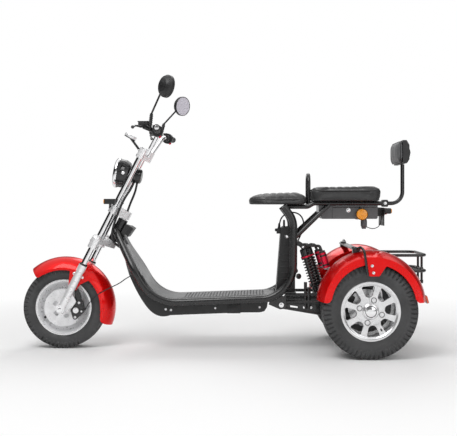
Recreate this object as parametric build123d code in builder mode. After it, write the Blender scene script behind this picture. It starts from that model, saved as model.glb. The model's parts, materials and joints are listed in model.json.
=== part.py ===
from build123d import *
import os
from math import cos, radians, sin, tan

# Three-wheeled electric motor scooter. The front points towards -X and the rider's left
# towards -Y, the ground is Z = 0, and all sizes are in millimetres.

# ---------------------------------------------------------------- driving sizes
wheelbase = 1500.0
front_axle_x = -801.5
rear_track = 540.0
front_tyre_radius = 205.0
front_tyre_width = 130.0
rear_tyre_radius = 225.0
rear_tyre_width = 195.0
bead_radius = 127.0
flange_radius = 140.0
flange_thickness = 6.0
front_shoulder_drop = 6.0
rear_shoulder_drop = 4.5
front_axle_diameter = 15.0
rear_stub_diameter = 25.0
axle_tube_diameter = 64.0
motor_diameter = 176.0
motor_half_width = 75.0
running_fit = 0.05
disc_thickness = 4.0
disc_gap = 5.0

rake = 27.0
steering_offset = 60.0
leg_spread = 105.0
leg_diameter = 39.0
leg_collar_diameter = 43.0
leg_length = 243.0
stanchion_diameter = 29.0
upper_tube_spread = 55.0
upper_tube_diameter = 29.0
collar_bottom = 338.0
collar_top = 408.0
crown_height = 372.0
crown_thickness = 26.0
middle_clamp_height = 534.0
middle_clamp_thickness = 38.0
top_clamp_height = 841.0
top_clamp_thickness = 52.0
stem_diameter = 28.0
head_tube_diameter = 50.0
bearing_gap = 9.0

handlebar_diameter = 22.0
handlebar_half_width = 361.0
grip_length = 120.0
grip_diameter = 32.0
headlight_diameter = 150.0
headlight_tilt = 10.0
mirror_diameter = 106.0

frame_tube_diameter = 38.0
frame_half_width = 135.0
panel_thickness = 12.0
panel_half_width = 116.0
pan_half_width = 114.0
seat_rail_diameter = 22.0
seat_rail_half_width = 90.0
front_rail_z = 711.0
rear_rail_z = 728.0
backrest_tube_diameter = 20.0
battery_half_width = 75.0
battery_bottom = 291.0
battery_rear = 361.0
seat_half_width = 130.0
rear_seat_half_width = 150.0
box_half_width = 78.0
box_bottom = 650.0
box_rear = 773.0
pivot_x = 290.7
pivot_z = 226.5
swing_arm_half_width = 100.0

fender_thickness = 3.0
front_fender_radius = 253.0
front_fender_lip_radius = 192.0
front_fender_width = 164.0
rear_fender_radius = 258.0
rear_fender_lip_radius = 199.0
rear_fender_width = 220.0
rear_fender_shoulder = 28.0
rear_fender_rise = 24.0
rear_fender_setback = 11.0

rack_half_width = 148.0
rack_top_z = 473.0
rack_floor_z = 396.0
rack_bar_diameter = 15.0

# ---------------------------------------------------------------- shared places
rear_axle_x = front_axle_x + wheelbase
front_axle_z = front_tyre_radius
rear_axle_z = rear_tyre_radius
rear_wheel_y = rear_track / 2
fork = Plane(
    origin=(front_axle_x, 0, front_axle_z),
    x_dir=(cos(radians(rake)), 0, -sin(radians(rake))),
    z_dir=(sin(radians(rake)), 0, cos(radians(rake))),
)
front_hub = Axis((front_axle_x, 0, front_axle_z), (0, 1, 0))
rear_hub = Axis((rear_axle_x, 0, rear_axle_z), (0, 1, 0))


# ---------------------------------------------------------------- shared shapes
def on_fork(back, side, up):
    """The place that lies behind, beside and up along the plane of the fork legs."""
    return fork.from_local_coords((back, side, up))


def bent_tube(points, diameter, bend=30.0, mode=Mode.ADD):
    """Sweep a round bar along straight runs joined by bends."""
    with BuildLine() as route:
        if len(points) == 2:
            Line(*points)
        else:
            FilletPolyline(*points, radius=bend)
    with BuildSketch(Plane(origin=route.line @ 0, z_dir=route.line % 0)) as section:
        Circle(diameter / 2)
    sweep(sections=section.sketch, path=route.line, mode=mode)


def rod(start, end, diameter, mode=Mode.ADD):
    """Add a straight round bar between two places."""
    bent_tube([start, end], diameter, mode=mode)


def cord_tube(points, diameter):
    """A cord along its route, with every bend as wide as its two runs allow."""
    places = [Vector(*point) for point in points]
    radii = []
    for before, corner, after in zip(places, places[1:], places[2:]):
        turn = (corner - before).get_angle(after - corner)
        shorter = min((corner - before).length, (after - corner).length)
        radii.append(0.45 * shorter / tan(radians(turn / 2)))
    print("cord radii", [round(radius, 1) for radius in radii])
    bent_tube(places, diameter, bend=radii)


def turned(place, direction, outline, mode=Mode.ADD):
    """Turn an outline of radius and height pairs about an axis."""
    across = Plane(origin=place, z_dir=direction).x_dir
    with BuildSketch(Plane(origin=place, x_dir=across, z_dir=across.cross(Vector(*direction)))) as half:
        with BuildLine():
            Polyline(*outline, close=True)
        make_face()
    revolve(half.sketch, axis=Axis(place, direction), mode=mode)


def side_slab(points, near, far, mode=Mode.ADD):
    """Extrude an outline of the side view between two distances to the rider's left."""
    with BuildSketch(Plane.XZ.offset(near)) as outline:
        with BuildLine():
            Polyline(*points, close=True)
        make_face()
    extrude(outline.sketch, amount=far - near, mode=mode)


def mirrored(piece):
    """The same piece on the rider's right."""
    with BuildPart() as copy:
        mirror(piece.part, about=Plane.XZ)
    return copy


def ring_section(axle_x, axle_z, centre_y, points):
    """A face beside an axle from pairs of width and radius, joined by straight lines."""
    with BuildSketch(Plane.YZ.offset(axle_x)) as section:
        with BuildLine():
            Polyline(*[(centre_y + y, axle_z + r) for y, r in points], close=True)
        make_face()
    return section.sketch


def tyre_section(axle_x, axle_z, centre_y, radius, width, bead_half, drop):
    """The cross section of a tyre: beads, bulging walls and a crowned tread."""
    half = width / 2
    tread_half = half - 9
    wall_foot = axle_z + flange_radius + 1
    shoulder = axle_z + radius - drop
    widest = (wall_foot + shoulder) / 2
    with BuildSketch(Plane.YZ.offset(axle_x)) as section:
        with BuildLine():
            beads = Polyline(
                (centre_y - bead_half, wall_foot),
                (centre_y - bead_half, axle_z + bead_radius),
                (centre_y + bead_half, axle_z + bead_radius),
                (centre_y + bead_half, wall_foot),
            )
            ThreePointArc(beads @ 1, (centre_y + half, widest), (centre_y + tread_half, shoulder))
            ThreePointArc(
                (centre_y + tread_half, shoulder),
                (centre_y, axle_z + radius),
                (centre_y - tread_half, shoulder),
            )
            ThreePointArc((centre_y - tread_half, shoulder), (centre_y - half, widest), beads @ 0)
        make_face()
    return section.sketch


def fender_section(axle_x, centre_z, centre_y, radius, lip_radius, width, wall):
    """The crowned cross section of a mudguard whose side walls are so high."""
    half = width / 2
    inner = half - fender_thickness
    foot = centre_z + lip_radius
    with BuildSketch(Plane.YZ.offset(axle_x)) as section:
        with BuildLine():
            left_wall = Line((centre_y - half, foot), (centre_y - half, foot + wall))
            right_wall = Line((centre_y + half, foot + wall), (centre_y + half, foot))
            ThreePointArc(left_wall @ 1, (centre_y, centre_z + radius), right_wall @ 0)
            right_lip = Line(right_wall @ 1, (centre_y + inner, foot))
            right_inside = Line(right_lip @ 1, (centre_y + inner, foot + wall))
            left_inside = Line((centre_y - inner, foot + wall), (centre_y - inner, foot))
            ThreePointArc(right_inside @ 1, (centre_y, centre_z + radius - fender_thickness), left_inside @ 0)
            Line(left_inside @ 1, left_wall @ 0)
        make_face()
    return section.sketch


def round_fender_end(centre_x, centre_z, lip_radius, angle, inward, corner_radius):
    """Round the lower corners of a mudguard where it ends at an angle about its centre."""
    outwards = Vector(cos(radians(angle)), sin(radians(angle)))
    along = Vector(-outwards.Y, outwards.X) * inward
    corner = Vector(centre_x, centre_z) + outwards * lip_radius
    below = corner - outwards * 8 - along * 4
    reach = corner + (outwards + along) * corner_radius
    with BuildSketch(Plane.XZ) as cutter:
        with BuildLine():
            Polyline(
                (below.X, below.Y),
                tuple(below + along * (corner_radius + 4))[:2],
                (reach.X, reach.Y),
                tuple(reach - along * (corner_radius + 4))[:2],
                close=True,
            )
        make_face()
        with Locations((reach.X, reach.Y)):
            Circle(corner_radius, mode=Mode.SUBTRACT)
    extrude(cutter.sketch, amount=1000, both=True, mode=Mode.SUBTRACT)


# ---------------------------------------------------------------- front wheel
front_bead_half = 45.0
front_flange_half = front_bead_half + flange_thickness
front_hub_half = 60.0
front_hub_radius = 34.0
front_disc_radius = 94.0

with BuildPart() as front_tyre:
    front_tyre_section = tyre_section(
        front_axle_x,
        front_axle_z,
        0,
        front_tyre_radius,
        front_tyre_width,
        front_bead_half,
        front_shoulder_drop,
    )
    revolve(front_tyre_section, axis=front_hub)

front_rim_outline = [
    (front_bead_half, bead_radius),
    (front_bead_half, flange_radius),
    (front_flange_half, flange_radius),
    (front_flange_half, bead_radius + 4),
    (front_bead_half - 5, bead_radius - 6),
    (22, 113),
    (10, 100),
    (7, 60),
    (28, front_hub_radius),
    (front_hub_half, front_hub_radius),
    (front_hub_half, front_axle_diameter / 2 + running_fit),
]
with BuildPart() as front_rim:
    outline = front_rim_outline + [(-y, r) for y, r in reversed(front_rim_outline)]
    revolve(ring_section(front_axle_x, front_axle_z, 0, outline), axis=front_hub)

with BuildPart() as front_disc:
    with BuildSketch(Plane.XZ.offset(front_hub_half)) as disc_face:
        with Locations((front_axle_x, front_axle_z)):
            Circle(front_disc_radius)
            Circle(20, mode=Mode.SUBTRACT)
            with PolarLocations(44, 5, start_angle=5):
                RectangleRounded(19, 25, 6, mode=Mode.SUBTRACT)
    extrude(disc_face.sketch, amount=disc_thickness)

# ---------------------------------------------------------------- front fork
axle_half = leg_spread + 24
leg_boss_up = 184.0
lug_near, lug_far = 85.0, 97.0
with BuildPart() as fork_lowers:
    with BuildSketch(fork.offset(-18)) as leg_section:
        with Locations((0, -leg_spread)):
            Circle(leg_diameter / 2)
    extrude(leg_section.sketch, amount=leg_length + 18)
    with BuildSketch(fork.offset(leg_length - 34)) as collar_section:
        with Locations((0, -leg_spread)):
            Circle(leg_collar_diameter / 2)
    extrude(collar_section.sketch, amount=34)
    with BuildSketch(fork.offset(leg_length - 50)) as socket:
        with Locations((0, -leg_spread)):
            Circle(stanchion_diameter / 2)
    extrude(socket.sketch, amount=50, mode=Mode.SUBTRACT)
    rod((front_axle_x, -leg_spread + 24, front_axle_z), (front_axle_x, -leg_spread - 20, front_axle_z), 42)
    rod(on_fork(0, -front_fender_width / 2, leg_boss_up), on_fork(0, -leg_spread, leg_boss_up), 18)
    mirror(about=Plane.XZ)
    lug_outline = [
        on_fork(0, 0, 20), on_fork(0, 0, 92), on_fork(24, 0, 84), on_fork(50, 0, 62), on_fork(44, 0, 26), on_fork(20, 0, -4),
    ]
    side_slab([(place.X, place.Z) for place in lug_outline], lug_near, lug_far)
    rod(
        (front_axle_x, leg_spread + 30, front_axle_z),
        (front_axle_x, -leg_spread - 30, front_axle_z),
        front_axle_diameter,
        mode=Mode.SUBTRACT,
    )

with BuildPart() as front_axle:
    rod((front_axle_x, -axle_half, front_axle_z), (front_axle_x, axle_half, front_axle_z), front_axle_diameter)
    for side in (-1, 1):
        rod(
            (front_axle_x, side * (leg_spread + 20), front_axle_z),
            (front_axle_x, side * axle_half, front_axle_z),
            26,
        )

crown_top = crown_height + crown_thickness
stanchion_top = collar_top - 8
top_clamp_top = top_clamp_height + top_clamp_thickness
with BuildPart() as fork_tubes:
    with BuildSketch(fork.offset(leg_length - 50)) as stanchion_section:
        with Locations((0, -leg_spread), (0, leg_spread)):
            Circle(stanchion_diameter / 2)
    extrude(stanchion_section.sketch, amount=stanchion_top - leg_length + 50)
    with BuildSketch(fork.offset(crown_height)) as upper_section:
        with Locations((0, -upper_tube_spread), (0, upper_tube_spread)):
            Circle(upper_tube_diameter / 2)
    extrude(upper_section.sketch, amount=top_clamp_top - crown_height)


def clamp(height, thickness, tube_spread, tube_radius, stem_radius, stem_back):
    """A fork clamp: two tube collars joined to each other and to a boss on the stem."""
    with BuildSketch(fork.offset(height)) as outline:
        with Locations((0, -tube_spread), (0, tube_spread)):
            Circle(tube_radius)
        with Locations((stem_back, 0)):
            Circle(stem_radius)
        make_hull()
    extrude(outline.sketch, amount=thickness)


collar_radius = 24.0
with BuildPart() as lower_crown:
    for side in (-1, 1):
        turned(
            on_fork(0, side * leg_spread, 0),
            fork.z_dir,
            [
                (0, collar_bottom),
                (collar_radius, collar_bottom),
                (collar_radius, collar_top - 16),
                (collar_radius - 4, collar_top - 6),
                (collar_radius - 12, collar_top),
                (0, collar_top),
            ],
        )
    clamp(crown_height, crown_thickness, leg_spread, collar_radius - 3, 27, steering_offset)
    add(fork_tubes.part, mode=Mode.SUBTRACT)
    rod(
        on_fork(steering_offset, 0, crown_top),
        on_fork(steering_offset, 0, middle_clamp_height + middle_clamp_thickness),
        stem_diameter,
    )

with BuildPart() as middle_clamp:
    clamp(middle_clamp_height, middle_clamp_thickness, upper_tube_spread, 22, 26, steering_offset)
    add(fork_tubes.part, mode=Mode.SUBTRACT)
    add(lower_crown.part, mode=Mode.SUBTRACT)

# ---------------------------------------------------------------- handlebar and controls
bar_back = 27.0
bar_centre = on_fork(bar_back, 0, top_clamp_height + 28)
bar_rise = Vector(-320, -100, 1071)
bar_end = Vector(-295, -handlebar_half_width, 1079)
bar_direction = (bar_end - bar_rise).normalized()


def along_bar(distance):
    """The place on the left half of the handlebar at a distance from its end."""
    return bar_end - bar_direction * distance


with BuildPart() as handlebar:
    bent_tube([bar_centre, bar_centre - Vector(0, 48, 0), bar_rise, bar_end], handlebar_diameter, bend=28)
    mirror(about=Plane.XZ)

with BuildPart() as top_clamp:
    clamp(top_clamp_height, top_clamp_thickness, upper_tube_spread, 21, 24, bar_back)
    add(fork_tubes.part, mode=Mode.SUBTRACT)
    add(handlebar.part, mode=Mode.SUBTRACT)

with BuildPart() as grips:
    rod(along_bar(grip_length), along_bar(0), grip_diameter)
    mirror(about=Plane.XZ)
    add(handlebar.part, mode=Mode.SUBTRACT)

with BuildPart() as switch_housings:
    rod(along_bar(grip_length + 40), along_bar(grip_length + 1), 52)
    mirror(about=Plane.XZ)
    add(handlebar.part, mode=Mode.SUBTRACT)

perch = along_bar(grip_length + 62)
lever_root = Vector(-376, -230, 1098)
lever_tip = Vector(-410, -335, 1084)
with BuildPart() as brake_levers:
    rod(along_bar(grip_length + 74), along_bar(grip_length + 50), 36)
    rod(perch, perch + (lever_root - perch) * 0.95, 24)
    bent_tube([perch + (lever_root - perch) * 0.8, Vector(-408, -262, 1098), lever_tip], 10, bend=20)
    with Locations(lever_tip):
        Sphere(8)
    mirror(about=Plane.XZ)
    add(handlebar.part, mode=Mode.SUBTRACT)
    add(switch_housings.part, mode=Mode.SUBTRACT)

mirror_centre = Vector(-240, -370, 1267)
mirror_face = Vector(0.75, 0.65, -0.13).normalized()
mirror_radius = mirror_diameter / 2
boot_foot, boot_top = Vector(-346, -213, 1084), Vector(-333, -250, 1156)
with BuildPart() as mirrors:
    rod(boot_foot, boot_top, 15)
    rod(boot_top, Vector(-277, -352, 1240), 9)
    turned(
        mirror_centre,
        mirror_face,
        [
            (0, -4),
            (mirror_radius, -4),
            (mirror_radius, -14),
            (mirror_radius * 0.86, -26),
            (mirror_radius * 0.6, -35),
            (mirror_radius * 0.28, -40),
            (0, -41),
        ],
    )
    turned(
        mirror_centre,
        mirror_face,
        [(mirror_radius - 3, -4), (mirror_radius, -4), (mirror_radius, 0), (mirror_radius - 3, 0)],
    )
    mirror(about=Plane.XZ)
    add(brake_levers.part, mode=Mode.SUBTRACT)

with BuildPart() as mirror_glass:
    turned(mirror_centre, mirror_face, [(0, -4), (mirror_radius - 3, -4), (mirror_radius - 3, -1), (0, -1)])
    mirror(about=Plane.XZ)

headlight_centre = Vector(-541, 0, 884)
headlight = Plane(
    origin=headlight_centre,
    x_dir=(0, 1, 0),
    z_dir=(-cos(radians(headlight_tilt)), 0, sin(radians(headlight_tilt))),
)
headlight_radius = headlight_diameter / 2
lens_radius = headlight_radius - 8
strap_length = 97.0
with BuildPart() as headlight_bucket:
    turned(
        headlight_centre,
        headlight.z_dir,
        [
            (0, -6),
            (lens_radius, -6),
            (lens_radius, 0),
            (headlight_radius, 0),
            (headlight_radius, -9),
            (headlight_radius - 3, -10),
            (headlight_radius - 4, -44),
            (headlight_radius - 14, -62),
            (38, -70),
            (36, -122),
            (28, -127),
            (0, -127),
        ],
    )
    with BuildSketch(fork.offset(top_clamp_height - strap_length)) as strap_section:
        with Locations((-4, 0)):
            Rectangle(8, 36)
    extrude(strap_section.sketch, amount=strap_length)
    for side in (-1, 1):
        rod(
            on_fork(0, side * upper_tube_spread, middle_clamp_height),
            on_fork(0, side * upper_tube_spread, top_clamp_height),
            upper_tube_diameter + 2,
            mode=Mode.SUBTRACT,
        )

with BuildPart() as headlight_lens:
    with BuildSketch(headlight.offset(-6)) as lens_face:
        Circle(lens_radius)
    extrude(lens_face.sketch, amount=22)
    fillet(headlight_lens.edges().sort_by(Axis(headlight_centre, headlight.z_dir))[-1], 14)

signal_place = Vector(-558, -112, 737)
with BuildPart() as front_turn_signals:
    rod(on_fork(-18, -upper_tube_spread - 8, middle_clamp_height + 20), signal_place, 10)
    with Locations(signal_place):
        Box(56, 40, 26)
    fillet(front_turn_signals.edges().filter_by(Axis.Z).sort_by(Axis.X)[:2], 10)
    mirror(about=Plane.XZ)
    add(middle_clamp.part, mode=Mode.SUBTRACT)

gauge = Plane(origin=(-473, 0, 1067), x_dir=(0, 1, 0), z_dir=(0.485, 0, 0.875))
with BuildPart() as speedometer:
    with BuildSketch(gauge.offset(-10)) as gauge_face:
        Circle(30)
    extrude(gauge_face.sketch, amount=20)
    rod(on_fork(-15, 0, top_clamp_height + 30), gauge.from_local_coords((0, 0, -4)), 12)
    add(top_clamp.part, mode=Mode.SUBTRACT)

# ---------------------------------------------------------------- front mudguard and brake
front_fender_ends = (-21.5, 130.0)
front_tab = [
    (-762, 400),
    (-771, 311),
    (-752, 296),
    (-733, 294),
    (-712, 322),
    (-664, 345),
    (-708, 380),
]
with BuildPart() as front_fender:
    section = fender_section(
        front_axle_x, front_axle_z, 0, front_fender_radius, front_fender_lip_radius, front_fender_width, 10
    )
    revolve(section, axis=front_hub, revolution_arc=90 - front_fender_ends[0])
    revolve(section, axis=front_hub, revolution_arc=90 - front_fender_ends[1])
    round_fender_end(front_axle_x, front_axle_z, front_fender_lip_radius, front_fender_ends[0], 1, 34)
    round_fender_end(front_axle_x, front_axle_z, front_fender_lip_radius, front_fender_ends[1], -1, 14)
    for side in (-1, 1):
        faces = sorted((side * (front_fender_width / 2 - fender_thickness), side * front_fender_width / 2))
        side_slab(front_tab, *faces)

caliper_x = front_axle_x + 70
front_tab_inside = front_fender_width / 2 - fender_thickness
caliper_near = 42.0
with BuildPart() as front_caliper:
    with BuildSketch(Plane.XZ.offset(caliper_near)) as caliper_face:
        with Locations((caliper_x, front_axle_z - 10)):
            Circle(27)
        with Locations((caliper_x + 15, front_axle_z + 27)):
            Circle(13)
        with Locations((caliper_x - 5, front_axle_z - 45)):
            Circle(12)
        with Locations((caliper_x + 28, front_axle_z - 15)):
            Circle(11)
        make_hull()
    extrude(caliper_face.sketch, amount=lug_near - caliper_near)
    side_slab([(-741, 299), (-722, 303), (-706, 262), (-706, 225), (-738, 225)], 69, front_tab_inside)
    rod((caliper_x, -lug_near, front_axle_z - 10), (caliper_x, -lug_near - 6, front_axle_z - 10), 34)
    hose_fitting = Vector(caliper_x + 47, -88, front_axle_z - 3)
    rod((caliper_x + 24, -78, front_axle_z - 12), hose_fitting, 11)
    with BuildSketch(Plane.XZ.offset(front_hub_half - disc_gap)) as disc_slot:
        with Locations((front_axle_x, front_axle_z)):
            Circle(front_disc_radius + disc_gap)
    extrude(disc_slot.sketch, amount=disc_thickness + 2 * disc_gap, mode=Mode.SUBTRACT)
    add(fork_lowers.part, mode=Mode.SUBTRACT)

# ---------------------------------------------------------------- main frame
top_end = Vector(303, -frame_half_width, 709.5)
seat_bend = Vector(350, -frame_half_width, 648)
rear_bend = Vector(348.5, -frame_half_width, 262)
front_bend = Vector(-339, -frame_half_width, 237)
shield_bend = Vector(-435, -frame_half_width, 400)
head_end = Vector(-545, -22, 590)
tube_bends = [110, 165, 200, 150]
head_bottom, head_top = crown_top + bearing_gap, middle_clamp_height - 8

with BuildPart() as head_tube:
    rod(on_fork(steering_offset, 0, head_bottom), on_fork(steering_offset, 0, head_top), head_tube_diameter)
    side_slab([(-536, 546), (-495, 622), (-471.6, 614.5), (-496.3, 575.6), (-500, 556)], -26, 26)
    rod(
        on_fork(steering_offset, 0, head_bottom - 1),
        on_fork(steering_offset, 0, head_top + 1),
        stem_diameter + 2 * running_fit,
        mode=Mode.SUBTRACT,
    )

with BuildPart() as left_frame_tube:
    bent_tube(
        [top_end, seat_bend, rear_bend, front_bend, shield_bend, head_end], frame_tube_diameter, bend=tube_bends
    )
    rod(
        on_fork(steering_offset, 0, head_bottom - 60),
        on_fork(steering_offset, 0, head_top + 60),
        head_tube_diameter,
        mode=Mode.SUBTRACT,
    )
    add(head_tube.part, mode=Mode.SUBTRACT)
right_frame_tube = mirrored(left_frame_tube)

console_ribs = 6
with BuildPart() as head_console:
    side_slab([(-496.3, 575.6), (-480.7, 557.9), (-450.3, 600.4), (-471.6, 614.5)], -45, 45)
    rib_step = (Vector(-450.3, 0, 600.4) - Vector(-480.7, 0, 557.9)) / (console_ribs + 1)
    for rib in range(1, console_ribs + 1):
        groove = Vector(-480.7, 0, 557.9) + rib_step * rib
        rod(groove - Vector(0, 46, 0), groove + Vector(0, 46, 0), 3, mode=Mode.SUBTRACT)

# The floor panel follows one line: down the leg shield, round a bend and along the deck.
panel_head = Vector(-497, 560)
panel_corner = Vector(-330.6, 255.9)
panel_tail = Vector(258, 278.8)
panel_bend = 165.0
shield_direction = (panel_corner - panel_head).normalized()
deck_direction = (panel_tail - panel_corner).normalized()
panel_turn = shield_direction.get_angle(deck_direction)


def panel_line(depth):
    """The side view of the floor panel's surface at a depth below its top."""
    corner_shift = (shield_direction - deck_direction).normalized() * (depth / cos(radians(panel_turn / 2)))
    lowered = [
        panel_head + Vector(shield_direction.Y, -shield_direction.X) * depth,
        panel_corner + corner_shift,
        panel_tail + Vector(deck_direction.Y, -deck_direction.X) * depth,
    ]
    return FilletPolyline(*[(place.X, place.Y) for place in lowered], radius=panel_bend + depth)


front_plan = [
    (-panel_half_width, 0),
    (panel_half_width, 0),
    (panel_half_width, 372),
    (36, 520),
    (36, 640),
    (-36, 640),
    (-36, 520),
    (-panel_half_width, 372),
]


def trim_to_plan():
    """Keep only what lies within the outline of the leg shield seen from the front."""
    with BuildSketch(Plane.YZ.offset(-600)) as plan:
        with BuildLine():
            Polyline(*front_plan, close=True)
        make_face()
    extrude(plan.sketch, amount=1000, mode=Mode.INTERSECT)


with BuildPart() as floorboard:
    with BuildSketch(Plane.XZ.offset(-panel_half_width)) as panel_side:
        with BuildLine():
            upper = panel_line(0)
            lower = panel_line(panel_thickness)
            Line(upper @ 0, lower @ 0)
            Line(upper @ 1, lower @ 1)
        make_face()
    extrude(panel_side.sketch, amount=2 * panel_half_width)
    trim_to_plan()
    for rib in range(-4, 5):
        groove = Vector(0, rib * 22, 0)
        rod(
            Vector(-190, 0, 262.2) + groove,
            Vector(210, 0, 277.8) + groove,
            4,
            mode=Mode.SUBTRACT,
        )
    add(left_frame_tube.part, mode=Mode.SUBTRACT)
    add(right_frame_tube.part, mode=Mode.SUBTRACT)
    add(head_console.part, mode=Mode.SUBTRACT)
    add(head_tube.part, mode=Mode.SUBTRACT)

with BuildPart() as belly_pan:
    with BuildSketch(Plane.XZ.offset(-pan_half_width)) as pan_side:
        with BuildLine():
            inside = panel_line(panel_thickness / 2)
            keel = Spline((-505, 505), (-488, 444), (-445, 336), (-391, 238), (-337, 181), (-258, 174.5))
            sill = Polyline(keel @ 1, (97, 188), (185, 188.5), (207, 194), (220, 214), (224, 240), (236, 262))
            Line(sill @ 1, inside @ 1)
            Line(keel @ 0, inside @ 0)
        make_face()
    extrude(pan_side.sketch, amount=2 * pan_half_width)
    trim_to_plan()
    add(floorboard.part, mode=Mode.SUBTRACT)
    add(left_frame_tube.part, mode=Mode.SUBTRACT)
    add(right_frame_tube.part, mode=Mode.SUBTRACT)
    add(head_tube.part, mode=Mode.SUBTRACT)

plug_y = -45.0
with BuildPart() as battery:
    side_slab(
        [
            (266.9, battery_bottom),
            (battery_rear, battery_bottom),
            (battery_rear, 600),
            (338, 610),
            (300, 610),
            (290.5, 600),
        ],
        -battery_half_width,
        battery_half_width,
    )
    fillet(battery.edges().filter_by(Axis.Z), 5)
    bent_tube([(308, -30, 606), (308, -30, 640), (308, 30, 640), (308, 30, 606)], 9, bend=16)
    with Locations((280, plug_y, 589)):
        Box(22, 32, 26)

cross_low, cross_high = Vector(374, 0, 530), Vector(352, 0, 640)
across = Vector(0, frame_half_width, 0)
with BuildPart() as frame_crossmembers:
    side_slab(
        [(262, 285), (362, 285), (362, battery_bottom), (262, battery_bottom)], -frame_half_width, frame_half_width
    )
    rod(cross_low - across, cross_low + across, 24)
    rod(cross_high - across, cross_high + across, 26)
    for side in (-1, 1):
        plate = sorted((side * 118, side * 126))
        side_slab([(228, 229), (238, 264), (313, 300), (313.5, 208.7), (283.5, 205)], *plate)
        for inner in (31, 80):
            ear = sorted((side * inner, side * (inner + 5)))
            side_slab([(372, 520), (378, 540), (406, 522), (411, 505), (396, 499)], *ear)
    for ear in ((-85, -80), (-36, -31)):
        side_slab([(396, 505), (400, 520), (432, 522), (441, 505), (426, 499)], *ear)
    add(battery.part, mode=Mode.SUBTRACT)
    add(left_frame_tube.part, mode=Mode.SUBTRACT)
    add(right_frame_tube.part, mode=Mode.SUBTRACT)
    add(floorboard.part, mode=Mode.SUBTRACT)
    add(belly_pan.part, mode=Mode.SUBTRACT)

# ---------------------------------------------------------------- seats
with BuildPart() as seat_frame:
    for side in (-1, 1):
        rail_y = side * seat_rail_half_width
        bent_tube(
            [
                (310, rail_y, front_rail_z),
                (424, rail_y, front_rail_z),
                (452, rail_y, rear_rail_z),
                (790, rail_y, rear_rail_z),
            ],
            seat_rail_diameter,
            bend=30,
        )
        rod((352, side * frame_half_width, 553), (530, rail_y, 722), seat_rail_diameter)
    rod((310, -frame_half_width, 700), (310, frame_half_width, 700), 26)
    rod((430, -seat_rail_half_width, 716), (430, seat_rail_half_width, 716), 18)
    rod((790, -seat_rail_half_width, rear_rail_z), (790, seat_rail_half_width, rear_rail_z), seat_rail_diameter)
    add(left_frame_tube.part, mode=Mode.SUBTRACT)
    add(right_frame_tube.part, mode=Mode.SUBTRACT)

seat_bottom = front_rail_z + seat_rail_diameter / 2
with BuildPart() as front_seat:
    with BuildSketch(Plane.XY.offset(seat_bottom)) as seat_plan:
        with BuildLine():
            sides = Polyline(
                (225, -seat_half_width), (411, -seat_half_width), (411, seat_half_width), (225, seat_half_width)
            )
            ThreePointArc(sides @ 1, (130, 0), sides @ 0)
        make_face()
    extrude(seat_plan.sketch, amount=62)
    fillet(front_seat.faces().sort_by(Axis.Z)[-1].edges(), 26)

with BuildPart() as rear_seat:
    with Locations((611.5, 0, rear_rail_z + seat_rail_diameter / 2 + 35.5)):
        Box(339, 2 * rear_seat_half_width, 71)
    fillet(rear_seat.edges().filter_by(Axis.Z), 40)
    fillet(rear_seat.faces().sort_by(Axis.Z)[-1].edges(), 24)

with BuildPart() as grab_handle:
    bent_tube([(430, -60, 725), (430, -60, 873), (430, 60, 873), (430, 60, 725)], 18, bend=45)
    add(seat_frame.part, mode=Mode.SUBTRACT)

with BuildPart() as under_seat_box:
    side_slab(
        [(478, 717), (478, 684), (494, box_bottom), (box_rear, box_bottom), (box_rear, 717)],
        -box_half_width,
        box_half_width,
    )
    fillet(under_seat_box.edges().filter_by(Axis.Y).sort_by(Axis.Z)[:2], 8)
    side_slab([(560, 712), (767, 712), (767, 717), (560, 717)], -box_half_width - 14, box_half_width + 14)
    turned((706, -60, box_bottom + 2), (0, 0, -1), [(0, 0), (12, 0), (16, 12), (16, 36), (10, 52), (0, 52)])

reflector_place = Vector(692, 0, 673)
with BuildPart() as side_reflectors:
    for side in (-1, 1):
        rod(
            reflector_place + Vector(0, side * box_half_width, 0),
            reflector_place + Vector(0, side * (box_half_width + 20), 0),
            58,
        )

light_front, light_rear = box_rear, 812.0
plate_hole_spacing = 120.0
plate_hole_z = 640.0
plate_hole_diameter = 6.5
with BuildPart() as plate_holder:
    side_slab([(light_front, 662), (light_rear, 666), (light_rear, 706), (light_front, 708)], -55, 55)
    fillet(plate_holder.edges().filter_by(Axis.Y), 6)
    side_slab([(802, 616), (806, 616), (806, 690), (802, 690)], -80, 80)
    for side in (-1, 1):
        rod((800, side * 50, 690), (812, side * 84, 690), 10)
        with Locations((818, side * 98, 690)):
            Box(38, 34, 28)
        rod(
            (795, side * plate_hole_spacing / 2, plate_hole_z),
            (815, side * plate_hole_spacing / 2, plate_hole_z),
            plate_hole_diameter,
            mode=Mode.SUBTRACT,
        )
    fillet(plate_holder.edges().filter_by(lambda edge: abs(edge.center().Y) > 90), 8)

with BuildPart() as tail_light:
    with Locations((light_rear + 6, 0, 688)):
        Box(12, 96, 34)
    fillet(tail_light.edges().filter_by(Axis.Y).sort_by(Axis.X)[-2:], 5)

shell_front, shell_rear = 890.0, 922.0
with BuildPart() as backrest_post:
    bent_tube(
        [(801, 0, rear_rail_z), (910.5, 0, rear_rail_z), (910.5, 0, 926)], backrest_tube_diameter, bend=58
    )
    with Locations((820, 0, rear_rail_z)):
        Box(24, 40, 36)

with BuildPart() as backrest_shell:
    side_slab(
        [(shell_front, 926), (910, 926), (shell_rear, 945), (shell_rear, 1016), (908, 1040), (shell_front, 1040)],
        -128,
        128,
    )
    side_slab([(920, 950), (940, 962), (944, 985), (940, 1002), (920, 1012)], -42, 42)

with BuildPart() as backrest_pad:
    side_slab([(861, 944), (868, 930), (889.7, 926), (889.7, 1040), (870, 1034), (861, 1022)], -132, 132)

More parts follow.
